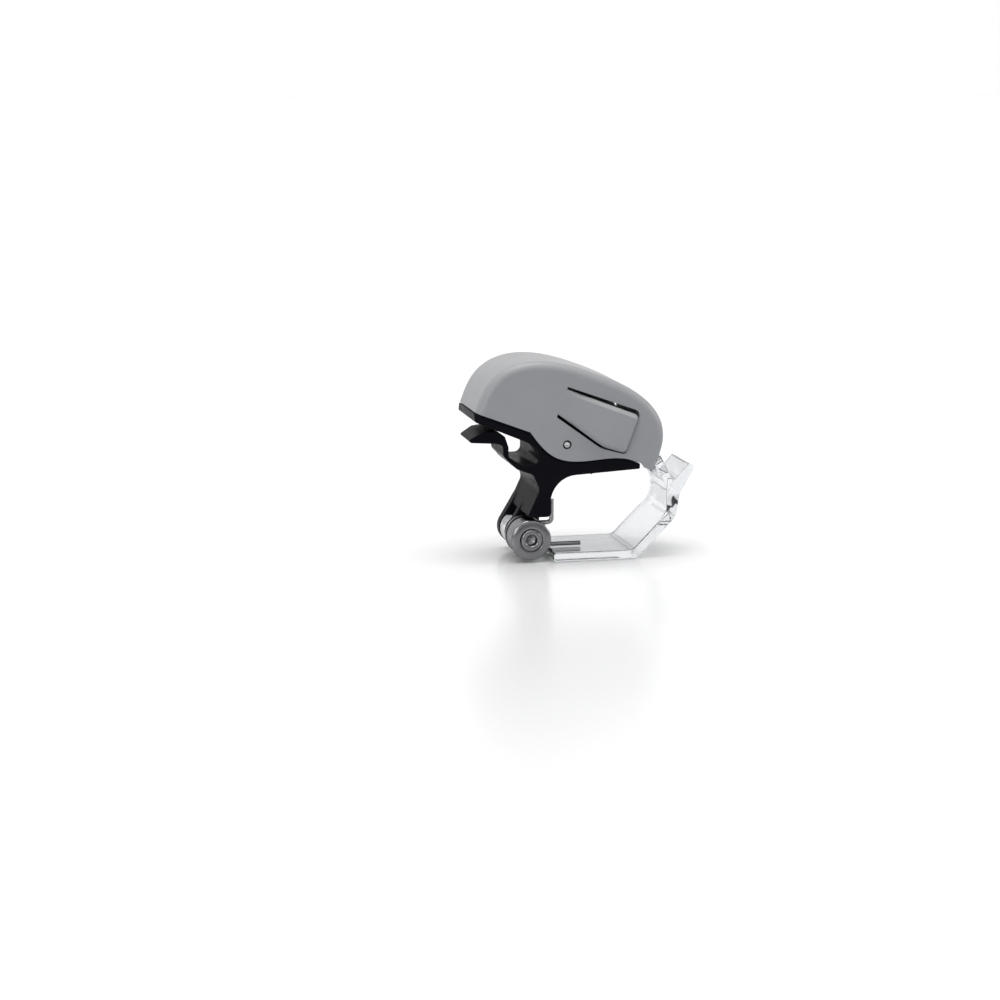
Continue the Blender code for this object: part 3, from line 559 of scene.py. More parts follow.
class SharedGroups:
    """Effects that several finishes use, each built once."""

    @staticmethod
    @cache
    def mould_grain() -> Tree:
        """Fine spark-eroded grain: a height for bumps and a slow unevenness of tone."""
        tree = NodeTools.group(
            "mould_grain",
            {"Grain Scale": 9000.0, "Tone Scale": 140.0},
            {"Height": "NodeSocketFloat", "Tone": "NodeSocketFloat"},
        )
        start, end = tree.nodes["in"], tree.nodes["out"]
        where = NodeTools.coordinates(tree)
        fine = NodeTools.noise(tree, where, start.outputs["Grain Scale"], 3.0)
        coarse = NodeTools.noise(tree, where, start.outputs["Tone Scale"], 4.0)
        tree.links.new(fine, end.inputs["Height"])
        tree.links.new(coarse, end.inputs["Tone"])
        return tree

    @staticmethod
    @cache
    def painted_edge_highlight() -> Tree:
        """Mask that is strong on sharp edges and broken up by noise, for a painted edge highlight."""
        tree = NodeTools.group(
            "painted_edge_highlight",
            {"Reach": 0.0004, "Break Scale": 1600.0},
            {"Mask": "NodeSocketFloat"},
        )
        start, end = tree.nodes["in"], tree.nodes["out"]
        bevel = tree.nodes.new("ShaderNodeBevel")
        bevel.samples = 6
        tree.links.new(start.outputs["Reach"], bevel.inputs["Radius"])
        facing = tree.nodes.new("ShaderNodeNewGeometry").outputs["Normal"]
        dot = tree.nodes.new("ShaderNodeVectorMath")
        dot.operation = "DOT_PRODUCT"
        tree.links.new(bevel.outputs["Normal"], dot.inputs[0])
        tree.links.new(facing, dot.inputs[1])
        turned = NodeTools.math(tree, "SUBTRACT", 1.0, dot.outputs["Value"])
        strong = NodeTools.math(tree, "MULTIPLY", turned, 6.0)
        where = NodeTools.coordinates(tree)
        broken = NodeTools.noise(tree, where, start.outputs["Break Scale"], 3.0)
        mixed = NodeTools.math(tree, "MULTIPLY", strong, broken)
        capped = NodeTools.math(tree, "MINIMUM", mixed, 1.0)
        tree.links.new(capped, end.inputs["Mask"])
        return tree

    @staticmethod
    @cache
    def smudges() -> Tree:
        """Soft patches and hairline scratches that vary a gloss."""
        tree = NodeTools.group(
            "smudges",
            {"Patch Scale": 260.0, "Scratch Scale": 900.0},
            {"Patches": "NodeSocketFloat", "Scratches": "NodeSocketFloat"},
        )
        start, end = tree.nodes["in"], tree.nodes["out"]
        where = NodeTools.coordinates(tree)
        patches = NodeTools.noise(tree, where, start.outputs["Patch Scale"], 5.0)
        mapping = tree.nodes.new("ShaderNodeMapping")
        mapping.inputs["Rotation"].default_value = (0.3, 0.5, 0.4)
        mapping.inputs["Scale"].default_value = (1.0, 14.0, 5.0)
        tree.links.new(where, mapping.inputs["Vector"])
        lines = NodeTools.noise(tree, mapping.outputs["Vector"], start.outputs["Scratch Scale"])
        narrow = NodeTools.math(tree, "POWER", lines, 6.0)
        tree.links.new(patches, end.inputs["Patches"])
        tree.links.new(narrow, end.inputs["Scratches"])
        return tree


# Finishes


@dataclass(frozen=True)
class Finish:
    """A finish: a Principled material with its detail from shared groups."""

    name: str
    colour: tuple[float, float, float]
    roughness: float

    def start(self) -> tuple[Material, Tree, bpy.types.Node]:
        """A new material, its tree and its Principled node."""
        material = bpy.data.materials.new(self.name)
        material.use_nodes = True
        tree = material.node_tree
        shader = tree.nodes["Principled BSDF"]
        shader.inputs["Base Color"].default_value = (*self.colour, 1.0)
        shader.inputs["Roughness"].default_value = self.roughness
        return material, tree, shader

    @staticmethod
    def place(tree: Tree, group: Tree, **values: float) -> bpy.types.Node:
        """A shared group in a material.

        Args:
            tree: the material's tree.
            group: the shared group.
            values: its inputs, with underscores for spaces.

        Returns:
            The group's node.
        """
        node = tree.nodes.new("ShaderNodeGroup")
        node.node_tree = group
        for label, value in values.items():
            node.inputs[label.replace("_", " ")].default_value = value
        return node

    @staticmethod
    def span(tree: Tree, factor: object, low: float, high: float) -> object:
        """A factor of 0 to 1 spread from low to high.

        Args:
            tree: the material's tree.
            factor: the factor's socket.
            low: value at 0.
            high: value at 1.

        Returns:
            The result's socket.
        """
        node = tree.nodes.new("ShaderNodeMapRange")
        node.inputs["To Min"].default_value = low
        node.inputs["To Max"].default_value = high
        tree.links.new(factor, node.inputs["Value"])
        return node.outputs["Result"]

    @staticmethod
    def mix(tree: Tree, factor: object, first: object, second: object) -> object:
        """Two colours mixed by a factor.

        Args:
            tree: the material's tree.
            factor: the factor's socket.
            first: colour or socket at 0.
            second: colour or socket at 1.

        Returns:
            The mixed colour's socket.
        """
        node = tree.nodes.new("ShaderNodeMix")
        node.data_type = "RGBA"
        tree.links.new(factor, node.inputs["Factor"])
        for label, value in (("A", first), ("B", second)):
            socket = next(s for s in node.inputs if s.name == label and s.type == "RGBA")
            if isinstance(value, tuple):
                socket.default_value = (*value, 1.0)
            else:
                tree.links.new(value, socket)
        return next(s for s in node.outputs if s.type == "RGBA")

    @staticmethod
    def bump(
        tree: Tree, shader: bpy.types.Node, height: object, depth: float, ease: float = 0.0
    ) -> None:
        """Bump a shader by a height, over edges that are eased.

        Args:
            tree: the material's tree.
            shader: the Principled node.
            height: the height's socket.
            depth: depth of the relief in metres.
            ease: radius that sharp edges seem to have.
        """
        node = tree.nodes.new("ShaderNodeBump")
        node.inputs["Strength"].default_value = 1.0
        node.inputs["Distance"].default_value = depth
        tree.links.new(height, node.inputs["Height"])
        if ease:
            eased = tree.nodes.new("ShaderNodeBevel")
            eased.samples = 8
            eased.inputs["Radius"].default_value = ease
            tree.links.new(eased.outputs["Normal"], node.inputs["Normal"])
        tree.links.new(node.outputs["Normal"], shader.inputs["Normal"])


@dataclass(frozen=True)
class GreyMoulding(Finish):
    """Satin grey plastic with a faint grain and handling marks."""

    name: str = "grey_moulding_dressed"
    colour: tuple[float, float, float] = (0.335, 0.337, 0.345)
    roughness: float = 0.40

    def build(self) -> Material:
        """Make the material."""
        material, tree, shader = self.start()
        grain = self.place(tree, SharedGroups.mould_grain(), Grain_Scale=7000.0, Tone_Scale=110.0)
        marks = self.place(tree, SharedGroups.smudges(), Patch_Scale=150.0, Scratch_Scale=500.0)
        darker = tuple(c * 0.95 for c in self.colour)
        lighter = tuple(c * 1.05 for c in self.colour)
        tone = self.mix(tree, grain.outputs["Tone"], darker, lighter)
        tree.links.new(tone, shader.inputs["Base Color"])
        patches = marks.outputs["Patches"]
        rough = self.span(tree, patches, self.roughness - 0.06, self.roughness + 0.08)
        tree.links.new(rough, shader.inputs["Roughness"])
        self.bump(tree, shader, grain.outputs["Height"], 0.000012)
        return material


@dataclass(frozen=True)
class BlackMoulding(Finish):
    """Glossy black plastic with soft smudges, hairline scratches and a painted highlight along its
    edges.
    """

    name: str = "black_moulding_dressed"
    colour: tuple[float, float, float] = (0.006, 0.006, 0.008)
    gloss: float = 0.012
    roughness: float = 0.26

    def build(self) -> Material:
        """Make the material."""
        material, tree, shader = self.start()
        marks = self.place(tree, SharedGroups.smudges(), Patch_Scale=210.0, Scratch_Scale=700.0)
        edge_highlight = self.place(tree, SharedGroups.painted_edge_highlight(), Reach=0.00025, Break_Scale=1900.0)
        grain = self.place(tree, SharedGroups.mould_grain(), Grain_Scale=5200.0, Tone_Scale=90.0)
        shader.inputs["Specular IOR Level"].default_value = self.gloss
        dusty = (0.009, 0.009, 0.012)
        tone = self.mix(tree, marks.outputs["Patches"], self.colour, dusty)
        amount = self.span(tree, edge_highlight.outputs["Mask"], 0.0, 0.35)
        # Painted highlight: the edges are lightened towards pale grey by the edge mask.
        tree.links.new(self.mix(tree, amount, tone, (0.05, 0.05, 0.055)), shader.inputs["Base Color"])
        patches = marks.outputs["Patches"]
        rough = self.span(tree, patches, self.roughness - 0.08, self.roughness + 0.12)
        tree.links.new(rough, shader.inputs["Roughness"])
        both = NodeTools.math(tree, "ADD", grain.outputs["Height"], marks.outputs["Scratches"])
        self.bump(tree, shader, both, 0.000006, 0.00022)
        return material


@dataclass(frozen=True)
class ClearMoulding(Finish):
    """Clear hard plastic with flow lines and handling haze."""

    name: str = "clear_moulding_dressed"
    colour: tuple[float, float, float] = (0.87, 0.885, 0.90)
    roughness: float = 0.035

    def build(self) -> Material:
        """Make the material."""
        material, tree, shader = self.start()
        shader.inputs["Transmission Weight"].default_value = 1.0
        shader.inputs["IOR"].default_value = 1.58
        marks = self.place(tree, SharedGroups.smudges(), Patch_Scale=170.0, Scratch_Scale=420.0)
        cooler = (0.80, 0.825, 0.85)
        tone = self.mix(tree, marks.outputs["Patches"], self.colour, cooler)
        tree.links.new(tone, shader.inputs["Base Color"])
        patches = marks.outputs["Patches"]
        rough = self.span(tree, patches, self.roughness - 0.02, self.roughness + 0.05)
        tree.links.new(rough, shader.inputs["Roughness"])
        self.bump(tree, shader, marks.outputs["Patches"], 0.00002)
        return material


@dataclass(frozen=True)
class BrightSteel(Finish):
    """Bright steel with turning or drawing lines about the hinge axis."""

    name: str = "bright_steel_dressed"
    colour: tuple[float, float, float] = (0.31, 0.31, 0.32)
    roughness: float = 0.18
    line_scale: float = 2600.0
    turned: bool = True

    def build(self) -> Material:
        """Make the material."""
        material, tree, shader = self.start()
        shader.inputs["Metallic"].default_value = 1.0
        marks = self.place(tree, SharedGroups.smudges(), Patch_Scale=500.0, Scratch_Scale=1500.0)
        where = NodeTools.coordinates(tree)
        mapping = tree.nodes.new("ShaderNodeMapping")
        mapping.inputs["Location"].default_value = (-HINGE.x, 0.0, -HINGE.z)
        tree.links.new(where, mapping.inputs["Vector"])
        rings = tree.nodes.new("ShaderNodeTexWave")
        rings.wave_type = "RINGS" if self.turned else "BANDS"
        rings.rings_direction = "Y"
        rings.bands_direction = "Y"
        rings.inputs["Scale"].default_value = self.line_scale
        rings.inputs["Distortion"].default_value = 3.0
        rings.inputs["Detail"].default_value = 3.0
        rings.inputs["Detail Scale"].default_value = 2.0
        tree.links.new(mapping.outputs["Vector"], rings.inputs["Vector"])
        darker = tuple(c * 0.72 for c in self.colour)
        tone = self.mix(tree, marks.outputs["Patches"], self.colour, darker)
        tree.links.new(tone, shader.inputs["Base Color"])
        rough = self.span(tree, rings.outputs["Fac"], self.roughness - 0.05, self.roughness + 0.10)
        tree.links.new(rough, shader.inputs["Roughness"])
        self.bump(tree, shader, rings.outputs["Fac"], 0.000004)
        return material


@dataclass(frozen=True)
class PaleFloor(Finish):
    """White lacquered table top, seen brighter than it lights the clip, with painted shade that
    darkens it towards the camera.
    """

    name: str = "pale_floor"
    colour: tuple[float, float, float] = (0.58, 0.615, 0.67)
    seen_near: tuple[float, float, float] = (0.89, 0.89, 0.895)
    seen_far: tuple[float, float, float] = (1.0, 1.0, 1.0)
    near: float = -0.10
    far: float = 0.30
    roughness: float = 0.22

    def build(self) -> Material:
        """Make the material."""
        material, tree, shader = self.start()
        shader.inputs["Specular IOR Level"].default_value = 0.35
        where = NodeTools.coordinates(tree)
        split = tree.nodes.new("ShaderNodeSeparateXYZ")
        tree.links.new(where, split.inputs["Vector"])
        # Painted shade: the table is seen darker towards the camera, brightening to white away from
        # it.
        fade = tree.nodes.new("ShaderNodeMapRange")
        fade.interpolation_type = "SMOOTHSTEP"
        fade.inputs["From Min"].default_value = self.near
        fade.inputs["From Max"].default_value = self.far
        tree.links.new(split.outputs["Y"], fade.inputs["Value"])
        table = self.mix(tree, fade.outputs["Result"], self.seen_near, self.seen_far)
        path = tree.nodes.new("ShaderNodeLightPath")
        camera, glossy = path.outputs["Is Camera Ray"], path.outputs["Is Glossy Ray"]
        seen = NodeTools.math(tree, "MAXIMUM", camera, glossy)
        seen = NodeTools.math(tree, "MAXIMUM", seen, path.outputs["Is Transmission Ray"])
        shown = self.mix(tree, seen, self.colour, table)
        tree.links.new(shown, shader.inputs["Base Color"])
        return material


# Pieces


@dataclass(kw_only=True)
class Piece:
    """One separate piece of the clip."""

    node: str
    body: str
    slot: Slot
    material: Material

    @property
    def name(self) -> str:
        """Name of the dressed object."""
        return f"{self.node}_dressed"

    def tie(self, made: Thing) -> None:
        """Let the form ride its body."""
        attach(made, self.body)

    def dress(self, made: Thing) -> Thing:
        """Give a finished form its finish, pass it to the piece's tie and hide the imported solid of
        its node.

        Args:
            made: the form.

        Returns:
            The same object.
        """
        made.data.materials.clear()
        made.data.materials.append(self.material)
        self.tie(made)
        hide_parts(self.node)
        LOG.info("%s: %d faces", self.name, len(made.data.polygons))
        return made


@dataclass(frozen=True)
class Belly:
    """Lower edge of the shell: level, then a belly, then a low hump and a short skirt."""

    start: float = 12.8 * MM
    lowest: float = 20.8 * MM
    depth: float = 3.4 * MM
    hump: float = 37.0 * MM
    hump_height: float = 1.6 * MM
    skirt: float = 38.9 * MM
    skirt_step: float = 1.0 * MM
    skirt_height: float = 0.9 * MM
    step: float = 0.45 * MM

    def height(self, along: float) -> float:
        """Height of the edge at a distance from the nose."""
        if along <= self.start:
            return 0.0
        if along <= self.lowest:
            share = (along - self.start) / (self.lowest - self.start)
            return -self.depth * math.sin(share * math.pi / 2)
        if along <= self.hump:
            share = (along - self.lowest) / (self.hump - self.lowest)
            rise = (1 - math.cos(share * math.pi)) / 2
            return -self.depth + (self.depth + self.hump_height) * rise
        share = min(1.0, max(0.0, (along - self.skirt) / self.skirt_step))
        return self.hump_height - (self.hump_height - self.skirt_height) * share

    def points(self, start: float, end: float, drop: float) -> list[Point]:
        """Points along the edge, lowered by a drop.

        Args:
            start: first distance from the nose.
            end: last distance from the nose.
            drop: how far below the edge the points lie.

        Returns:
            The points, in the level frame.
        """
        skirt_end = self.skirt + self.skirt_step
        marks = {start, end, self.start, self.lowest, self.hump, self.skirt, skirt_end}
        ordered = sorted(mark for mark in marks if start <= mark <= end)
        stations: list[float] = []
        for low, high in zip(ordered, ordered[1:]):
            curved = self.start <= low and high <= self.hump
            count = max(1, round((high - low) / self.step)) if curved else 1
            stations.extend(low + (high - low) * i / count for i in range(count))
        stations.append(ordered[-1])
        return [(along, self.height(along) - drop) for along in stations]


@dataclass(frozen=True)
class TabPlan:
    """Sizes that a squeeze tab and its window share, in the level frame."""

    root: float = 17.1 * MM
    end: float = 34.2 * MM
    pad: float = 4.6 * MM
    proud: float = 2.0 * MM
    root_bottom: float = 5.7 * MM
    root_top: float = 11.4 * MM
    heel: float = 28.9 * MM
    heel_bottom: float = 2.3 * MM
    end_bottom: float = 2.6 * MM
    end_top: float = 11.3 * MM
    upper_slot_root: float = 0.55 * MM
    upper_slot_end: float = 0.90 * MM
    lower_slot_root: float = 0.70 * MM
    lower_slot_end: float = 0.30 * MM
    end_gap: float = 0.30 * MM
    rim: float = 0.95 * MM
    pad_fall: float = 0.045

    def window(self) -> list[Point]:
        """Outline of the opening in the shell's side."""
        right = self.end + self.end_gap
        return Outline.rounded([
            (self.root, self.root_bottom - self.lower_slot_root, 0.28 * MM),
            (self.heel, self.heel_bottom - self.lower_slot_root * 0.7, 6.0 * MM),
            (right, self.end_bottom - self.lower_slot_end, 0.7 * MM),
            (right, self.end_top + self.upper_slot_end, 1.2 * MM),
            (self.root, self.root_top + self.upper_slot_root, 0.25 * MM),
        ])

    def side(self, before: float = 0.0) -> list[Point]:
        """Outline of the tab from its side, drawn out before its root."""
        run = before / (self.heel - self.root)
        start = self.root - before
        return Outline.rounded([
            (start, self.root_bottom + (self.root_bottom - self.heel_bottom) * run, 0.0),
            (self.heel, self.heel_bottom, 7.0 * MM),
            (self.end, self.end_bottom, 1.0 * MM),
            (self.end, self.end_top, 1.1 * MM),
            (start, self.root_top, 0.0),
        ])

    def lift(self, along: float) -> float:
        """How far the outer face stands proud of the shell at a distance from the nose."""
        first, last = 0.18, 0.10
        share = (along - self.root) / (self.end - self.pad - self.root)
        past = max(0.0, along - self.end + self.pad)
        share = min(1.0, max(0.0, share))
        if share < first:
            rise = share * share / (2 * first)
        elif share < 1.0 - last:
            rise = share - first / 2
        else:
            over = share - (1.0 - last)
            rise = share - first / 2 - over * over / (2 * last)
        return self.proud * rise / (1.0 - first / 2 - last / 2) - past * self.pad_fall

    def at_root(self, level: Matrix) -> Callable[[Vector, Vector], bool]:
        """A test whether an edge is where a tab grows out of the shell.

        Args:
            level: placement of the level frame in the world.

        Returns:
            The test, on an edge's two ends.
        """
        back = level.inverted()
        return lambda *ends: all(abs((back @ co).x - self.root) < 0.02 * MM for co in ends)

    def rim_share(self, along: float) -> float:
        """How much of the rim's rounding there is at a distance from the nose."""
        share = min(1.0, max(0.0, (along - self.root) / (4.0 * MM)))
        return share * share * (3.0 - 2.0 * share)


@dataclass(kw_only=True)
class Shell(Piece):
    """Moulded grey cover with its hollow, windows, pin holes and tail notch."""

    node: str = "shell"
    body: str = "upper"
    slot: Slot = Slot.GREY
    pitch: Pitch = field(default_factory=Pitch)
    belly: Belly = field(default_factory=Belly)
    tab: TabPlan = field(default_factory=TabPlan)
    length: float = 42.3 * MM
    half_width: float = 10.0 * MM
    height: float = 16.7 * MM
    wall: float = 1.6 * MM
    edge_radius: float = 2.0 * MM
    crown: float = 22.0 * MM
    nose_shoulder: float = 2.0 * MM
    nose_fullness: float = 2.45
    tail_shoulder: float = 4.0 * MM
    tail_fullness: float = 2.6
    crown_steps: int = 44
    pin_along: float = 21.5 * MM
    pin_up: float = 0.1 * MM
    pin_hole: float = 0.97 * MM
    notch_half: float = 6.8 * MM
    notch_across: Point = (25.3 * MM, 38.4 * MM)
    notch_up: Point = (10.0 * MM, 21.0 * MM)

    def crown_line(self, inset: float) -> list[Point]:
        """Nose, crown and tail of the shell, drawn in by an inset."""
        nose = self.crown - inset
        tail = self.length - self.crown - inset
        points: list[Point] = []
        for i in range(self.crown_steps + 1):
            a = math.pi / 2 * i / self.crown_steps
            rise = self.height - self.nose_shoulder - inset
            power = 2 / self.nose_fullness
            points.append((self.crown - nose * math.cos(a) ** power,
                           self.nose_shoulder + rise * math.sin(a) ** power))
        for i in range(1, self.crown_steps + 1):
            a = math.pi / 2 * i / self.crown_steps
            rise = self.height - self.tail_shoulder - inset
            power = 2 / self.tail_fullness
            points.append((self.crown + tail * math.sin(a) ** power,
                           self.tail_shoulder + rise * math.cos(a) ** power))
        return points

    def hull(self, inset: float, name: str) -> Thing:
        """The shell's full form, drawn in by an inset on every side."""
        low = -self.belly.depth - 6.0 * MM
        outline = [(inset, low)] + self.crown_line(inset) + [(self.length - inset, low)]
        half = self.half_width - inset
        work = Workshop.slab(outline, -half, half)
        round_above = low + 0.1 * MM

        def picked(edge: bmesh.types.BMEdge) -> bool:
            """Whether an edge belongs to the crown's two rims."""
            first, second = edge.verts
            level = abs(first.co.y - second.co.y) < 1e-7
            return level and max(first.co.z, second.co.z) > round_above

        Workshop.round_edges(work, self.edge_radius - inset * 0.6, 8, picked)
        return Workshop.thing(work, name, self.pitch.matrix())

    def build(self) -> Thing:
        """Make the shell."""
        level = self.pitch.matrix()
        wide = self.half_width * 1.5
        shell = self.hull(0.0, self.name)
        hollow = self.hull(self.wall, "hollow")
        line = self.belly.points(0.0, self.length, 0.0)
        beyond = 4.0 * MM
        deep = -20.0 * MM
        below = [(-beyond, 0.0)] + line[1:-1] + [
            (self.length + beyond, self.belly.skirt_height),
            (self.length + beyond, deep),
            (-beyond, deep),
        ]
        cut = Workshop.thing(Workshop.slab(below, -wide, wide), "below", level)
        window = Workshop.thing(Workshop.slab(self.tab.window(), -wide, wide), "window", level)
        pin = Workshop.rod(self.pin_hole, -wide, wide, 48, (self.pin_along, self.pin_up))
        hole = Workshop.thing(pin, "hole", level)
        (left, right), (low, high) = self.notch_across, self.notch_up
        corners = [(left, low), (right, low), (right, high), (left, high)]
        half = self.notch_half
        at_hinge = Matrix.Translation(HINGE)
        notch = Workshop.thing(Workshop.slab(corners, -half, half), "notch", at_hinge)
        Workshop.combine(shell, "DIFFERENCE", [hollow, cut, window, hole, notch])
        Workshop.soften(shell, 0.12 * MM, 2, 50.0, self.tab.at_root(level))
        Workshop.shade(shell)
        return self.dress(shell)


@dataclass(kw_only=True)
class SqueezeTab(Piece):
    """Squeeze tab with its raised pad and the catch finger inside it."""

    node: str = "squeeze_tab_near"
    body: str = "tab_near"
    slot: Slot = Slot.GREY
    side: Side = Side.NEAR
    pitch: Pitch = field(default_factory=Pitch)
    tab: TabPlan = field(default_factory=TabPlan)
    face: float = 10.0 * MM
    shell_wall: float = 1.6 * MM
    wall: float = 1.4 * MM
    catch_up: float = 6.3 * MM
    catch_thickness: float = 1.5 * MM
    catch_reach: float = 5.4 * MM
    catch_inner: float = 2.3 * MM
    catch_width: float = 1.0 * MM
    barb_length: float = 1.6 * MM
    barb_proud: float = 0.3 * MM
    ramp_step: float = 0.5 * MM

    def blank(self) -> Form:
        """The near tab's solid: its outline with a rounded rim, lifted along its ramp."""
        tab = self.tab
        inner = -self.face + self.shell_wall
        work = Workshop.slab(tab.side(MM), -self.face, inner, (tab.rim, 0.0), 1.75)
        along = tab.root
        while along < tab.end - 0.3 * MM:
            first = along == tab.root
            bmesh.ops.bisect_plane(
                work, geom=work.verts[:] + work.edges[:] + work.faces[:], clear_inner=first,
                plane_co=(along, 0.0, 0.0), plane_no=(1.0, 0.0, 0.0),
            )
            if first:
                bmesh.ops.holes_fill(work, edges=[edge for edge in work.edges if edge.is_boundary])
            along += self.ramp_step
        for vert in work.verts:
            below = vert.co.y + self.face
            if below < tab.rim + 0.01 * MM:
                vert.co.y = below * tab.rim_share(vert.co.x) - self.face - tab.lift(vert.co.x)
        return work

    def catch(self) -> list[Point]:
        """Outline of the catch from above, for the near side."""
        start = -self.face + self.shell_wall - self.wall / 2
        outer = -(self.catch_inner + self.catch_width)
        end = self.tab.end - 0.2 * MM
        tip = self.tab.end + self.catch_reach
        return [
            (end - 1.6 * MM, start),
            (end, start),
            (end, outer),
            (tip - self.barb_length, outer),
            (tip - self.barb_length * 0.6, outer - self.barb_proud),
            (tip - self.barb_length * 0.2, outer - self.barb_proud),
            (tip, outer + self.catch_width * 0.4),
            (tip, -self.catch_inner),
            (end - 1.6 * MM, -self.catch_inner),
        ]

    def hollow(self) -> list[Point]:
        """Outline of the tab's hollow from above, for the near side."""
        inner = -self.face + self.shell_wall + 2.0 * MM
        tab = self.tab
        crease = tab.end - tab.pad
        skin = self.wall
        return [
            (tab.root + skin * 2, inner),
            (tab.root + skin * 2, -self.face + skin),
            (crease, -self.face - tab.proud + skin),
            (tab.end - skin, -self.face - tab.proud + skin),
            (tab.end - skin, inner),
        ]

    def build(self) -> Thing:
        """Make the tab."""
        tab = self.tab
        mirror = Matrix.Scale(-self.side.value, 4, (0.0, 1.0, 0.0))
        level = self.pitch.matrix() @ mirror
        body = Workshop.thing(self.blank(), self.name, level)
        low = tab.heel_bottom + self.wall + 2.6 * MM
        high = tab.end_top - self.wall
        hollow = Workshop.thing(Workshop.standing(self.hollow(), low, high), "hollow", level)
        half = self.catch_thickness / 2
        finger = Workshop.standing(self.catch(), self.catch_up - half, self.catch_up + half)
        catch = Workshop.thing(finger, "catch", level)
        if self.side is Side.FAR:
            for thing in (body, hollow, catch):
                thing.data.flip_normals()
        Workshop.combine(body, "DIFFERENCE", [hollow])
        Workshop.combine(body, "UNION", [catch])
        Workshop.soften(body, 0.10 * MM, 2, 50.0, tab.at_root(level))
        Workshop.shade(body, 40.0)
        return self.dress(body)

    def tie(self, made: Thing) -> None:
        """Bake the tab's placement into its mesh; the tab is not tied to a body."""
        level = self.pitch.matrix()
        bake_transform(made)


@dataclass(kw_only=True)
class Frame(Piece):
    """Black moulding: flange, upper jaw, neck, cord keeper, ears and pin block."""

    node: str = "frame"
    body: str = "upper"
    slot: Slot = Slot.BLACK
    pitch: Pitch = field(default_factory=Pitch)
    belly: Belly = field(default_factory=Belly)
    half_width: float = 9.7 * MM
    seam: float = 0.2 * MM
    flange: float = 2.1 * MM
    flange_nose: float = 1.7 * MM
    nose_undercut: float = 0.7 * MM
    nose_corner: float = 2.0 * MM
    lip: float = 0.1 * MM
    length: float = 38.6 * MM
    edge: float = 0.38 * MM
    arch_end: float = 15.0 * MM
    arch_root: float = 13.8 * MM
    arch_radius: float = 6.0 * MM
    neck: float = 5.0 * MM
    neck_right: float = 4.2 * MM
    neck_bottom: float = 5.1 * MM
    toe_set: float = 0.2 * MM
    waist_up: float = 11.2 * MM
    waist_set: float = 2.6 * MM
    tunnel_width: float = 6.0 * MM
    tunnel_height: float = 5.3 * MM
    tunnel_wall_set: float = 3.3 * MM
    skin: float = 1.2 * MM
    tip_beyond_nose: float = 0.1 * MM
    tip_gap: float = 4.7 * MM
    hump_set: float = 6.2 * MM
    pinch_gap: float = 0.2 * MM
    tongue_root_half: float = 6.5 * MM
    tongue_tip_half: float = 4.5 * MM
    pin_radius: float = 1.48 * MM
    cross_radius: float = 0.78 * MM
    cross_along: float = 21.5 * MM
    cross_up: float = 0.1 * MM
    block_before: float = 3.7 * MM
    block_beyond: float = 8.4 * MM
    block_rise: float = 6.1 * MM
    block_half: float = 7.0 * MM
    far_ear: tuple[float, float, float] = (3.8 * MM, 6.5 * MM, 9.65 * MM)
    mid_ear: tuple[float, float, float] = (3.6 * MM, -1.23 * MM, 1.17 * MM)

    def under(self, reach: float) -> Point:
        """A point under the flange at a level distance from the nose."""
        return self.pitch.point(reach / math.cos(self.pitch.angle), -self.seam - self.flange)

    def root(self) -> Point:
        """Where the flange's underside meets the neck."""
        return self.pitch.point(self.belly.start - self.flange * 0.3, -self.seam - self.flange)

    def outline(self) -> list[Point]:
        """Side outline of the whole moulding, from the hinge axis."""
        top = [(*self.pitch.point(*p), 0.0)
               for p in self.belly.points(-self.lip, self.length, self.seam)]
        neck_left = self.neck_right - self.neck
        nose = self.pitch.point(self.nose_undercut - self.lip, -self.seam - self.flange_nose)
        root = self.root()
        right = root[0] + self.tunnel_wall_set
        left = right - self.tunnel_width
        floor = root[1] - self.tunnel_height
        hump = self.under(self.hump_set)
        hump_x, hump_z = hump[0], hump[1] - self.pinch_gap
        tip_x = self.under(0.0)[0] - self.tip_beyond_nose
        tip_z = self.under(0.0)[1] - self.tip_gap
        skin = self.skin
        corners: list[Corner] = [
            (top[-1][0], self.arch_end, 0.4 * MM),
            (self.neck_right, self.arch_root, self.arch_radius),
            (self.neck_right, self.neck_bottom, 0.8 * MM),
            (neck_left - self.toe_set, self.neck_bottom, 0.5 * MM),
            (neck_left + self.waist_set, self.waist_up, 2.0 * MM),
            (right - skin, floor - skin * 1.8, 1.0 * MM),
            (left + skin, floor - skin * 0.7, 1.6 * MM),
            (left - skin, floor + skin * 1.4, 1.2 * MM),
            (left - skin, floor + skin * 3.2, 0.8 * MM),
            (hump_x, hump_z - skin * 2.15, 3.0 * MM),
            (tip_x + skin * 0.7, tip_z - skin * 0.25, 0.6 * MM),
            (tip_x, tip_z + skin * 0.1, 0.4 * MM),
            (tip_x + skin * 2.5, tip_z + skin * 1.6, 0.6 * MM),
            (hump_x, hump_z, 1.2 * MM),
            (left - skin * 0.7, floor + skin * 5.0, 1.0 * MM),
            (left, floor + skin * 3.0, 1.6 * MM),
            (left, floor + skin * 1.2, 0.8 * MM),
            (left + skin * 1.7, floor, 1.2 * MM),
            (right, floor, 1.4 * MM),
            (right, root[1] - skin * 1.4, 1.8 * MM),
            (*root, 1.0 * MM),
            (*nose, 0.4 * MM),
        ]
        return Outline.rounded(top + corners)

    def ear(self, sizes: tuple[float, float, float], name: str) -> Thing:
        """A hinge ear with its flanks and rounded rims."""
        radius, near, far = sizes
        left_top = self.neck_right - self.neck + self.waist_set + 0.4 * MM
        lean = math.atan2(self.waist_up, left_top)
        touch = lean + math.acos(radius / math.hypot(left_top, self.waist_up))
        points = [(radius, self.waist_up), (left_top, self.waist_up)]
        points += Outline.arc(radius, touch, 2 * math.pi)
        work = Workshop.slab(points, near, far, (self.edge, self.edge))
        return Workshop.thing(work, name, Matrix.Translation(HINGE))

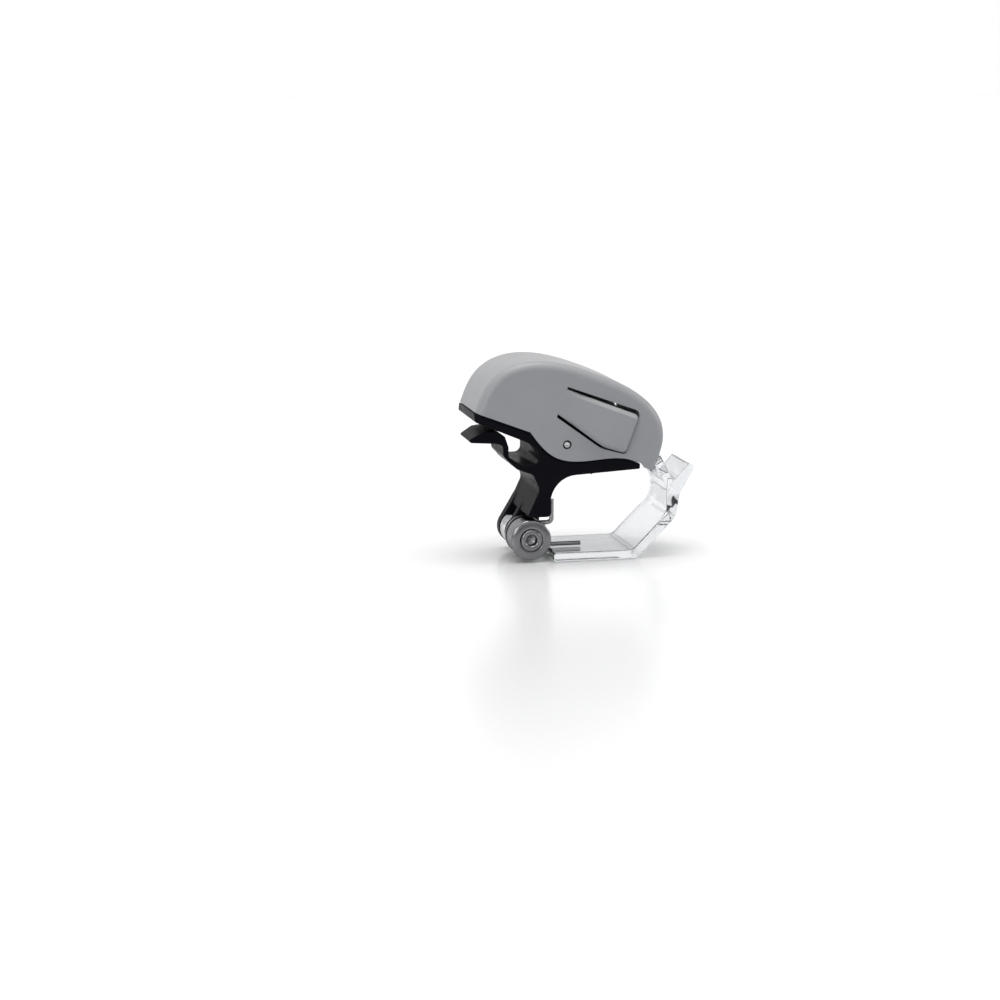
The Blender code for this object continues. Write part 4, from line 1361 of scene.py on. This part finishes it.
    def tongue_trim(self, side: Side) -> Thing:
        """Cutter that narrows the tongue on one side, more at its tip than at its root."""
        s = side.value
        root = self.belly.start + self.skin * 0.8
        hump = self.hump_set / math.cos(self.pitch.angle)
        outside = self.half_width + 1.6 * MM
        start = 1.5 * MM
        share = (start + self.tip_beyond_nose) / (hump + self.tip_beyond_nose)
        tip_half = self.tongue_tip_half + (self.tongue_root_half - self.tongue_tip_half) * share
        curve = Outline.rounded([
            (root, s * outside, 0.0),
            (root - 2.5 * MM, s * self.tongue_root_half, 1.2 * MM),
            (hump, s * self.tongue_root_half, 4.0 * MM),
            (start, s * tip_half, 1.0 * MM),
            (start, s * (tip_half - 2.0 * MM), 0.0),
            (-3.0 * MM, s * (tip_half - 2.0 * MM), 0.0),
            (-3.0 * MM, s * outside, 0.0),
        ])
        high = -self.seam - self.flange - self.pinch_gap / 2
        work = Workshop.standing(curve, high - self.tunnel_height * 2, high)
        return Workshop.thing(work, f"tongue_trim_{side.name.lower()}", self.pitch.matrix())

    def nose_trim(self, side: Side) -> Thing:
        """Cutter that rounds the flange's front corner on one side, seen from above."""
        s = side.value
        r = self.nose_corner
        start = -self.lip
        centre = (start + r, self.half_width - r)
        corner = Outline.arc(r, math.radians(172), math.radians(98), centre)
        curve = [(start - r, s * corner[0][1])]
        curve += [(x, s * y) for x, y in corner]
        outside = s * (self.half_width + r)
        curve += [(corner[-1][0], outside), (start - r, outside)]
        low = -self.seam - self.flange - self.pinch_gap / 2
        work = Workshop.standing(curve, low, 1.0 * MM)
        return Workshop.thing(work, f"nose_trim_{side.name.lower()}", self.pitch.matrix())

    def build(self) -> Thing:
        """Make the frame."""
        at_hinge = Matrix.Translation(HINGE)
        level = self.pitch.matrix()
        rims = (self.edge, self.edge)
        work = Workshop.slab(self.outline(), -self.half_width, self.half_width, rims)
        moulding = Workshop.thing(work, self.name, at_hinge)
        trims = [self.tongue_trim(side) for side in Side] + [self.nose_trim(side) for side in Side]
        Workshop.combine(moulding, "DIFFERENCE", trims)
        start, end = self.cross_along - self.block_before, self.cross_along + self.block_beyond
        low = -self.belly.depth - self.flange / 2
        top = self.cross_up + self.block_rise
        block_outline = Outline.rounded([(start, low, 0.0), (end, low, 0.0),
                                         (end, top, 1.0 * MM), (start, top, 1.0 * MM)])
        half = self.block_half
        block = Workshop.thing(Workshop.slab(block_outline, -half, half), "block", level)
        far = self.ear(self.far_ear, "far_ear")
        mid = self.ear(self.mid_ear, "mid_ear")
        Workshop.combine(moulding, "UNION", [far, mid, block])
        wide = self.half_width * 1.5
        pin = Workshop.rod(self.pin_radius, -wide, wide, 64)
        pin_hole = Workshop.thing(pin, "pin_hole", at_hinge)
        cross = Workshop.rod(self.cross_radius, -wide, wide, 48, (self.cross_along, self.cross_up))
        cross_hole = Workshop.thing(cross, "cross_hole", level)
        Workshop.combine(moulding, "DIFFERENCE", [pin_hole, cross_hole])
        Workshop.shade(moulding, 34.0)
        return self.dress(moulding)


@dataclass(kw_only=True)
class LowerJaw(Piece):
    """Clear lower jaw with its knuckle, thumb lip and toothed prongs."""

    node: str = "lower_jaw"
    body: str = "jaw"
    slot: Slot = Slot.CLEAR
    half_width: float = 9.5 * MM
    thickness: float = 2.0 * MM
    edge: float = 0.45 * MM
    ground: float = -5.0 * MM
    floor_start: float = 5.0 * MM
    corner_rise: float = 9.0 * MM
    upright_top: float = 11.0 * MM
    upright_half: float = 6.8 * MM
    shoulder: float = 5.5 * MM
    lip_reach: float = 5.0 * MM
    lip_rise: float = 4.2 * MM
    knuckle_radius: float = 3.7 * MM
    knuckle: Point = (1.47 * MM, 6.2 * MM)
    bore: float = 1.48 * MM
    prong_radius: float = 34.334 * MM
    prong_thickness: float = 1.8 * MM
    prong_half_spread: float = 6.5 * MM
    prong_width: float = 2.1 * MM
    tip_angle: float = math.radians(42.0)
    crotch_angle: float = math.radians(22.0)
    tooth_depth: float = 0.5 * MM
    tooth_pitch: float = 1.2 * MM
    teeth: int = 7
    trim_start: float = 20.0 * MM
    trim_length: float = 26.0 * MM

    def upright(self) -> float:
        """Distance of the upright's face from the hinge axis."""
        return math.sqrt(self.prong_radius ** 2 - self.upright_top ** 2)

    def outline(self) -> list[Point]:
        """Side outline of the floor, slanted corner, upright and lip."""
        t = self.thickness
        upright = self.upright()
        slant_x = upright + t * 0.05
        floor_end = slant_x - self.corner_rise
        slant_z = self.ground + self.corner_rise
        step = t * math.tan(math.pi / 8)
        lip_x = upright + self.lip_reach
        lip_z = self.upright_top + self.lip_rise
        top = self.upright_top
        return Outline.rounded([
            (self.floor_start, self.ground, 0.6 * MM),
            (floor_end, self.ground, 2.0 * MM),
            (slant_x, slant_z, 3.0 * MM),
            (upright + t * 0.9, top - t, 1.6 * MM),
            (lip_x, lip_z - t * 0.3, 0.6 * MM),
            (lip_x - t * 0.7, lip_z + t * 0.1, 0.6 * MM),
            (upright + t * 0.15, top + t * 0.4, 0.6 * MM),
            (upright - t * 0.6, top + t * 0.6, 0.3 * MM),
            (upright - t * 0.75, top - t * 1.2, 3.0 * MM),
            (slant_x - t * 0.95, slant_z + t * 0.6, 3.0 * MM),
            (floor_end - step, self.ground + t, 2.0 * MM),
            (self.floor_start, self.ground + t, 0.6 * MM),
        ])

    def prongs(self) -> list[Point]:
        """Side outline of the curved prongs."""
        start = math.asin(self.upright_top / self.prong_radius) - math.radians(4.0)
        inner = self.prong_radius - self.prong_thickness
        outer_line = Outline.arc(self.prong_radius, start, self.tip_angle, step=1.0)
        return outer_line + Outline.arc(inner, self.tip_angle, start, step=1.0)

    def gap(self) -> Thing:
        """Cutter for the toothed space between the prongs."""
        half = self.prong_half_spread - self.prong_width
        length = self.prong_radius * (self.tip_angle - self.crotch_angle)
        first = length - self.teeth * self.tooth_pitch - 0.6 * MM
        right: list[Point] = [(half - 0.9 * MM, 0.0), (half - 0.25 * MM, 0.25 * MM), (half, 0.9 * MM)]
        for i in range(self.teeth):
            base = first + i * self.tooth_pitch
            right.append((half, base))
            right.append((half - self.tooth_depth, base + self.tooth_pitch * 0.10))
            right.append((half - self.tooth_depth, base + self.tooth_pitch * 0.25))
        right += [(half, first + self.teeth * self.tooth_pitch), (half + 0.4 * MM, length + 4.0 * MM)]
        left = [(-y, t) for y, t in reversed(right)]
        work = Workshop.slab(right + left, -6.0 * MM, 6.0 * MM)
        middle = (self.tip_angle + self.crotch_angle) / 2
        out = Vector((math.cos(middle), 0.0, math.sin(middle)))
        along = Vector((-math.sin(middle), 0.0, math.cos(middle)))
        base_point = Vector((math.cos(self.crotch_angle), 0.0, math.sin(self.crotch_angle)))
        centre = base_point * (self.prong_radius - self.prong_thickness / 2)
        axes = Matrix((Vector((0.0, 1.0, 0.0)), -out, along)).transposed().to_4x4()
        place = Matrix.Translation(HINGE) @ Matrix.Translation(centre) @ axes
        return Workshop.thing(work, "gap", place)

    def side_trim(self, side: Side) -> Thing:
        """Cutter that narrows the upright on one side."""
        s = side.value
        outside = self.half_width + 1.0 * MM
        start = self.ground + self.corner_rise - 1.0 * MM
        corners: list[Corner] = [
            (s * outside, start, 0.0),
            (s * (self.half_width - 0.3 * MM), start, 0.6 * MM),
            (s * self.upright_half, start + self.shoulder, 1.5 * MM),
            (s * self.upright_half, self.prong_radius, 0.0),
            (s * outside, self.prong_radius, 0.0),
        ]
        ring = [Vector((self.trim_start, y, z)) for y, z in Outline.rounded(corners)]
        work = Workshop.prism(ring, Vector((self.trim_length, 0.0, 0.0)))
        return Workshop.thing(work, f"jaw_trim_{side.name.lower()}", Matrix.Translation(HINGE))

    def build(self) -> Thing:
        """Make the jaw."""
        at_hinge = Matrix.Translation(HINGE)
        work = Workshop.slab(self.outline(), -self.half_width, self.half_width)
        Workshop.round_edges(work, self.edge, 3, Workshop.rim)
        jaw = Workshop.thing(work, self.name, at_hinge)
        spread = self.prong_half_spread
        prongs = Workshop.thing(Workshop.slab(self.prongs(), -spread, spread), "prongs", at_hinge)
        trims = [self.side_trim(side) for side in Side]
        Workshop.combine(jaw, "DIFFERENCE", trims)
        Workshop.combine(jaw, "UNION", [prongs])
        Workshop.combine(jaw, "DIFFERENCE", [self.gap()])
        t = self.thickness
        web = [(self.floor_start + t * 0.7, self.ground + t * 0.2),
               (self.floor_start + t * 0.9, self.ground + t * 0.8)]
        eye = Outline.arc(self.knuckle_radius, math.radians(-15), math.radians(270))
        near, far = self.knuckle
        knuckle = Workshop.thing(Workshop.slab(web + eye, near, far), "knuckle", at_hinge)
        Workshop.combine(jaw, "UNION", [knuckle])
        bore = Workshop.thing(Workshop.rod(self.bore, near - MM, far + MM, 64), "bore", at_hinge)
        Workshop.combine(jaw, "DIFFERENCE", [bore])
        Workshop.soften(jaw, 0.10 * MM, 2, 50.0)
        Workshop.shade(jaw, 34.0)
        return self.dress(jaw)


@dataclass(kw_only=True)
class HingePin(Piece):
    """Tubular rivet with a rolled head on the near side."""

    node: str = "hinge_pin"
    body: str = "upper"
    slot: Slot = Slot.STEEL
    near: float = -9.6 * MM
    seat: float = -9.0 * MM
    far: float = 9.78 * MM
    shank: float = 1.4 * MM
    head: float = 2.4 * MM
    hollow: float = 1.15 * MM
    depth: float = 2.2 * MM
    peen: float = 2.0 * MM
    peen_thickness: float = 0.5 * MM

    def build(self) -> Thing:
        """Make the pin."""
        roll = (self.head - self.hollow) / 2
        middle = self.hollow + roll
        rise = self.seat - self.near
        bottom = self.near + self.depth
        profile: list[Point] = [
            (0.0, bottom), (0.35 * MM, bottom - 0.1 * MM), (self.hollow, bottom - 0.5 * MM),
            (self.hollow, self.near + rise),
        ]
        for i in range(13):
            a = math.pi * i / 12
            profile.append((middle - roll * math.cos(a), self.seat - rise * math.sin(a) ** 0.8))
        profile += [(self.shank, self.seat), (self.shank, self.far), (self.peen, self.far)]
        for i in range(1, 9):
            a = math.pi / 2 * i / 8
            profile.append((self.peen * math.cos(a), self.far + self.peen_thickness * math.sin(a)))
        profile[-1] = (0.0, self.far + self.peen_thickness)
        made = Workshop.thing(Workshop.lathe(profile), self.name, Matrix.Translation(HINGE))
        Workshop.shade(made, 50.0)
        return self.dress(made)


@dataclass(kw_only=True)
class Washer(Piece):
    """Washer beside the spring, flat with eased rims, or domed around the pin's head."""

    node: str = "spring_washer_near"
    body: str = "upper"
    slot: Slot = Slot.STEEL
    bore: float = 1.48 * MM
    ease: float = 0.12 * MM
    dome: float = 0.0
    wider: float = 0.0
    seat: float = 2.55 * MM

    def build(self) -> Thing:
        """Make the washer in its node's place."""
        low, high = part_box(self.node)
        near, far = low[1], high[1]
        radius = (high[0] - low[0]) / 2 + self.wider
        ease = self.ease
        shy = ease * 0.3
        face = [(radius - ease, near), (radius - shy, near + shy), (radius, near + ease)]
        if self.dome:
            turns = [math.pi / 20 * i for i in range(11)]
            lip = self.seat + ease
            face = [(self.seat, near), (self.seat, near - self.dome + ease)]
            face += [(lip + (radius - lip) * math.sin(a),
                      near - self.dome + (self.dome + ease * 2) * (1.0 - math.cos(a))) for a in turns]
        profile = [(self.bore, near + ease), (self.bore + ease, near)] + face + [
            (radius, far - ease),
            (radius - shy, far - shy), (radius - ease, far), (self.bore + ease, far),
            (self.bore, far - ease), (self.bore, near + ease),
        ]
        place = Matrix.Translation((HINGE.x, 0.0, HINGE.z))
        made = Workshop.thing(Workshop.lathe(profile), self.name, place)
        Workshop.shade(made, 50.0)
        return self.dress(made)


@dataclass(kw_only=True)
class TorsionSpring(Piece):
    """Torsion spring: a leg up the frame's neck, the coil, and a leg on the jaw's floor."""

    node: str = "torsion_spring"
    body: str = "upper"
    slot: Slot = Slot.STEEL
    radius: float = 3.65 * MM
    wire: float = 1.0 * MM
    turns: int = 4
    exit_angle: float = math.radians(16.0)
    first_y: float = -7.72 * MM
    last_y: float = -2.63 * MM
    leg_x: float = 4.8 * MM
    leg_top: float = 8.8 * MM
    floor_leg_z: float = -2.3 * MM
    floor_leg_reach: float = 12.5 * MM
    steps_per_turn: int = 40

    @staticmethod
    def bend(
        before: Vector, corner: Vector, after: Vector, radius: float, steps: int
    ) -> list[Vector]:
        """Points of a round bend in the wire.

        Args:
            before: a point on the way in.
            corner: where the straight lines would meet.
            after: a point on the way out.
            radius: radius of the bend.
            steps: number of steps along it.

        Returns:
            The bend's points.
        """
        first = (before - corner).normalized()
        second = (after - corner).normalized()
        angle = first.angle(second)
        set_back = radius / math.tan(angle / 2)
        centre = corner + (first + second).normalized() * (radius / math.sin(angle / 2))
        start = corner + first * set_back - centre
        end = corner + second * set_back - centre
        axis = start.cross(end)
        turn = start.angle(end)
        return [centre + Matrix.Rotation(turn * i / steps, 3, axis) @ start for i in range(steps + 1)]

    def path(self) -> list[Vector]:
        """Middle line of the wire, from the hinge axis."""
        top = Vector((self.leg_x, self.first_y, self.leg_top))
        corner = Vector((self.leg_x, self.first_y, self.radius))
        start = Vector((0.0, self.first_y, self.radius))
        points = [top] + self.bend(top, corner, start, self.wire, 8)
        sweep = self.turns * 2 * math.pi + math.pi + self.exit_angle
        steps = round(self.steps_per_turn * sweep / (2 * math.pi))
        for i in range(steps + 1):
            a = math.pi / 2 + sweep * i / steps
            y = self.first_y + (self.last_y - self.first_y) * i / steps
            points.append(Vector((self.radius * math.cos(a), y, self.radius * math.sin(a))))
        leaving = points[-1]
        run = (self.floor_leg_z - leaving.z) / math.tan(self.exit_angle)
        knee = Vector((leaving.x + run, self.last_y, self.floor_leg_z))
        end = Vector((self.floor_leg_reach, self.last_y, self.floor_leg_z))
        return points + self.bend(leaving, knee, end, self.wire * 2, 5) + [end]

    def build(self) -> Thing:
        """Make the spring."""
        curve = bpy.data.curves.new("wire", "CURVE")
        curve.dimensions = "3D"
        curve.bevel_depth = self.wire / 2
        curve.bevel_resolution = 5
        curve.use_fill_caps = True
        path = self.path()
        spline = curve.splines.new("POLY")
        spline.points.add(len(path) - 1)
        for point, place in zip(spline.points, path):
            point.co = (*(place + HINGE), 1.0)
        holder = bpy.data.objects.new("wire", curve)
        bpy.context.scene.collection.objects.link(holder)
        bpy.context.view_layer.update()
        evaluated = holder.evaluated_get(bpy.context.evaluated_depsgraph_get())
        mesh = bpy.data.meshes.new_from_object(evaluated)
        bpy.data.objects.remove(holder, do_unlink=True)
        bpy.data.curves.remove(curve)
        work = bmesh.new()
        work.from_mesh(mesh)
        bpy.data.meshes.remove(mesh)
        bmesh.ops.remove_doubles(work, verts=work.verts, dist=1e-7)
        bmesh.ops.recalc_face_normals(work, faces=work.faces)
        spring = Workshop.thing(work, self.name, Matrix.Identity(4))
        Workshop.shade(spring, 50.0)
        return self.dress(spring)

    def tie(self, made: Thing) -> None:
        """Bake the spring's placement into its mesh; the spring is not tied to a body."""
        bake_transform(made)


@dataclass(kw_only=True)
class CrossPin(Piece):
    """Pin through the shell and the frame, with dished ends."""

    node: str = "cross_pin"
    body: str = "upper"
    slot: Slot = Slot.STEEL
    pitch: Pitch = field(default_factory=Pitch)
    along: float = 21.5 * MM
    up: float = 0.1 * MM
    radius: float = 0.7 * MM
    half_length: float = 9.8 * MM

    def build(self) -> Thing:
        """Make the pin."""
        r, half = self.radius, self.half_length
        dish = [(0.0, 0.16), (0.30, 0.14), (0.55, 0.02), (0.72, 0.0), (0.90, 0.05), (1.0, 0.18)]
        near = [(r * share, -half + deep * MM) for share, deep in dish]
        profile = near + [(radius, -y) for radius, y in reversed(near)]
        made = Workshop.thing(
            Workshop.lathe(profile, (self.along, self.up), 48), self.name, self.pitch.matrix()
        )
        Workshop.shade(made, 50.0)
        return self.dress(made)


# Studio


@dataclass(frozen=True)
class Studio:
    """Floor, lights and camera."""

    azimuth: float = math.radians(-12.0)
    elevation: float = math.radians(10.6)
    pixels_per_metre: float = 4600.0
    hinge_pixel: Point = (532.0, 541.0)
    hinge_near: float = -9.7 * MM
    lens: float = 85.0
    sensor: float = 36.0
    floor_size: float = 6.0
    sky: float = 0.34
    room: float = 0.12

    def camera(self) -> None:
        """Set the camera at the photograph's angle and scale."""
        a, e = self.azimuth, self.elevation
        right = Vector((math.cos(a), math.sin(a), 0.0))
        forward = Vector((-math.sin(a) * math.cos(e), math.cos(a) * math.cos(e), -math.sin(e)))
        up = right.cross(forward)
        seen = Vector((HINGE.x, self.hinge_near, HINGE.z))
        aside = (self.hinge_pixel[0] - 500.0) / self.pixels_per_metre
        down = (self.hinge_pixel[1] - 500.0) / self.pixels_per_metre
        target = seen - right * aside + up * down
        distance = 1000.0 / self.pixels_per_metre * self.lens / self.sensor
        data = bpy.data.cameras.new("camera")
        data.lens = self.lens
        data.sensor_width = self.sensor
        data.clip_start = 0.01
        data.clip_end = 50.0
        camera = bpy.data.objects.new("camera", data)
        camera.location = target - forward * distance
        camera.rotation_euler = forward.to_track_quat("-Z", "Y").to_euler()
        bpy.context.scene.collection.objects.link(camera)
        bpy.context.scene.camera = camera

    def floor(self, material: Material) -> None:
        """Lay the floor under the clip."""
        work = bmesh.new()
        bmesh.ops.create_grid(work, x_segments=2, y_segments=2, size=self.floor_size)
        ground = Workshop.thing(work, "floor", Matrix.Translation((0.0, 0.0, -0.05 * MM)))
        ground.data.materials.append(material)

    def lamp(self, name: str, place: Vector, aim: Vector, size: float, power: float) -> None:
        """Add a square area lamp.

        Args:
            name: the lamp's name.
            place: where it hangs.
            aim: the point that it faces.
            size: its side.
            power: its power in watts.
        """
        data = bpy.data.lights.new(name, "AREA")
        data.shape = "SQUARE"
        data.size = size
        data.energy = power
        lamp = bpy.data.objects.new(name, data)
        lamp.location = place
        lamp.rotation_euler = (aim - place).to_track_quat("-Z", "Y").to_euler()
        bpy.context.scene.collection.objects.link(lamp)

    def sun(self, name: str, towards: Vector, spread: float, strength: float) -> None:
        """Add a distant soft lamp, which lights the whole floor alike.

        Args:
            name: the lamp's name.
            towards: direction in which its light goes.
            spread: angle across it.
            strength: its strength in watts per square metre.
        """
        data = bpy.data.lights.new(name, "SUN")
        data.angle = spread
        data.energy = strength
        lamp = bpy.data.objects.new(name, data)
        lamp.rotation_euler = towards.to_track_quat("-Z", "Y").to_euler()
        bpy.context.scene.collection.objects.link(lamp)

    def lights(self) -> None:
        """Broad soft light from above, with softboxes at the front left and at the right."""
        self.sun("top_light", Vector((0.06, 0.02, -1.0)), math.radians(50.0), 2.25)
        middle = Vector((0.0, 0.0, 0.02))
        self.lamp("left_light", Vector((-0.62, -0.72, 0.35)), middle, 0.40, 1.9)
        self.lamp("right_light", Vector((0.90, -0.12, 0.30)), middle, 0.30, 1.6)

    def world(self) -> None:
        """White surroundings, dimmer for the diffuse light than for what is seen."""
        world = bpy.data.worlds.new("surroundings")
        world.use_nodes = True
        bpy.context.scene.world = world
        tree = world.node_tree
        sky = tree.nodes["Background"]
        sky.inputs["Color"].default_value = (1.0, 1.0, 1.0, 1.0)
        path = tree.nodes.new("ShaderNodeLightPath")
        shown = NodeTools.math(
            tree, "MAXIMUM", path.outputs["Is Camera Ray"], path.outputs["Is Transmission Ray"]
        )
        split = tree.nodes.new("ShaderNodeSeparateXYZ")
        around = tree.nodes.new("ShaderNodeTexCoord")
        tree.links.new(around.outputs["Generated"], split.inputs["Vector"])
        behind = NodeTools.math(tree, "MULTIPLY_ADD", split.outputs["Y"], 1.6)
        behind.node.inputs[2].default_value = 1.0
        above = NodeTools.math(tree, "MULTIPLY", split.outputs["Z"], 1.6)
        bright = NodeTools.math(tree, "MAXIMUM", behind, above)
        bright = NodeTools.math(tree, "MAXIMUM", bright, self.room)
        bright = NodeTools.math(tree, "MINIMUM", bright, 1.0)
        mirrored = NodeTools.math(tree, "MULTIPLY", path.outputs["Is Glossy Ray"], bright)
        strength = NodeTools.math(tree, "MAXIMUM", shown, mirrored)
        strength = NodeTools.math(tree, "MAXIMUM", strength, self.sky)
        tree.links.new(strength, sky.inputs["Strength"])

    def build(self, floor: Material) -> None:
        """Set up the whole studio."""
        bpy.context.scene.view_settings.view_transform = "Standard"
        self.camera()
        self.floor(floor)
        self.lights()
        self.world()


def main() -> None:
    """Build the studio and every piece of the clip."""
    logging.basicConfig(level=logging.INFO, format="%(message)s")
    Studio().build(PaleFloor().build())
    grey = GreyMoulding().build()
    black = BlackMoulding().build()
    clear = ClearMoulding().build()
    # Painted shade and light: the hinge pin and washers get a darker copy of the spring's steel, and
    # the cross pin a lighter copy, for how light falls on each.
    shaded_turned_steel = BrightSteel(colour=(0.24, 0.24, 0.25)).build()
    drawn_steel = BrightSteel(name="drawn_steel_dressed", turned=False, line_scale=1500.0).build()
    lit_steel = BrightSteel(name="lit_steel_dressed", colour=(0.62, 0.62, 0.63)).build()
    Frame(material=black).build()
    Shell(material=grey).build()
    SqueezeTab(material=grey).build()
    SqueezeTab(node="squeeze_tab_far", body="tab_far", side=Side.FAR, material=grey).build()
    LowerJaw(material=clear).build()
    HingePin(material=shaded_turned_steel).build()
    Washer(material=shaded_turned_steel, dome=0.45 * MM, wider=0.5 * MM).build()
    Washer(node="spring_washer_inner", material=shaded_turned_steel).build()
    TorsionSpring(material=drawn_steel).build()
    CrossPin(material=lit_steel).build()


if __name__ == "__main__":
    main()
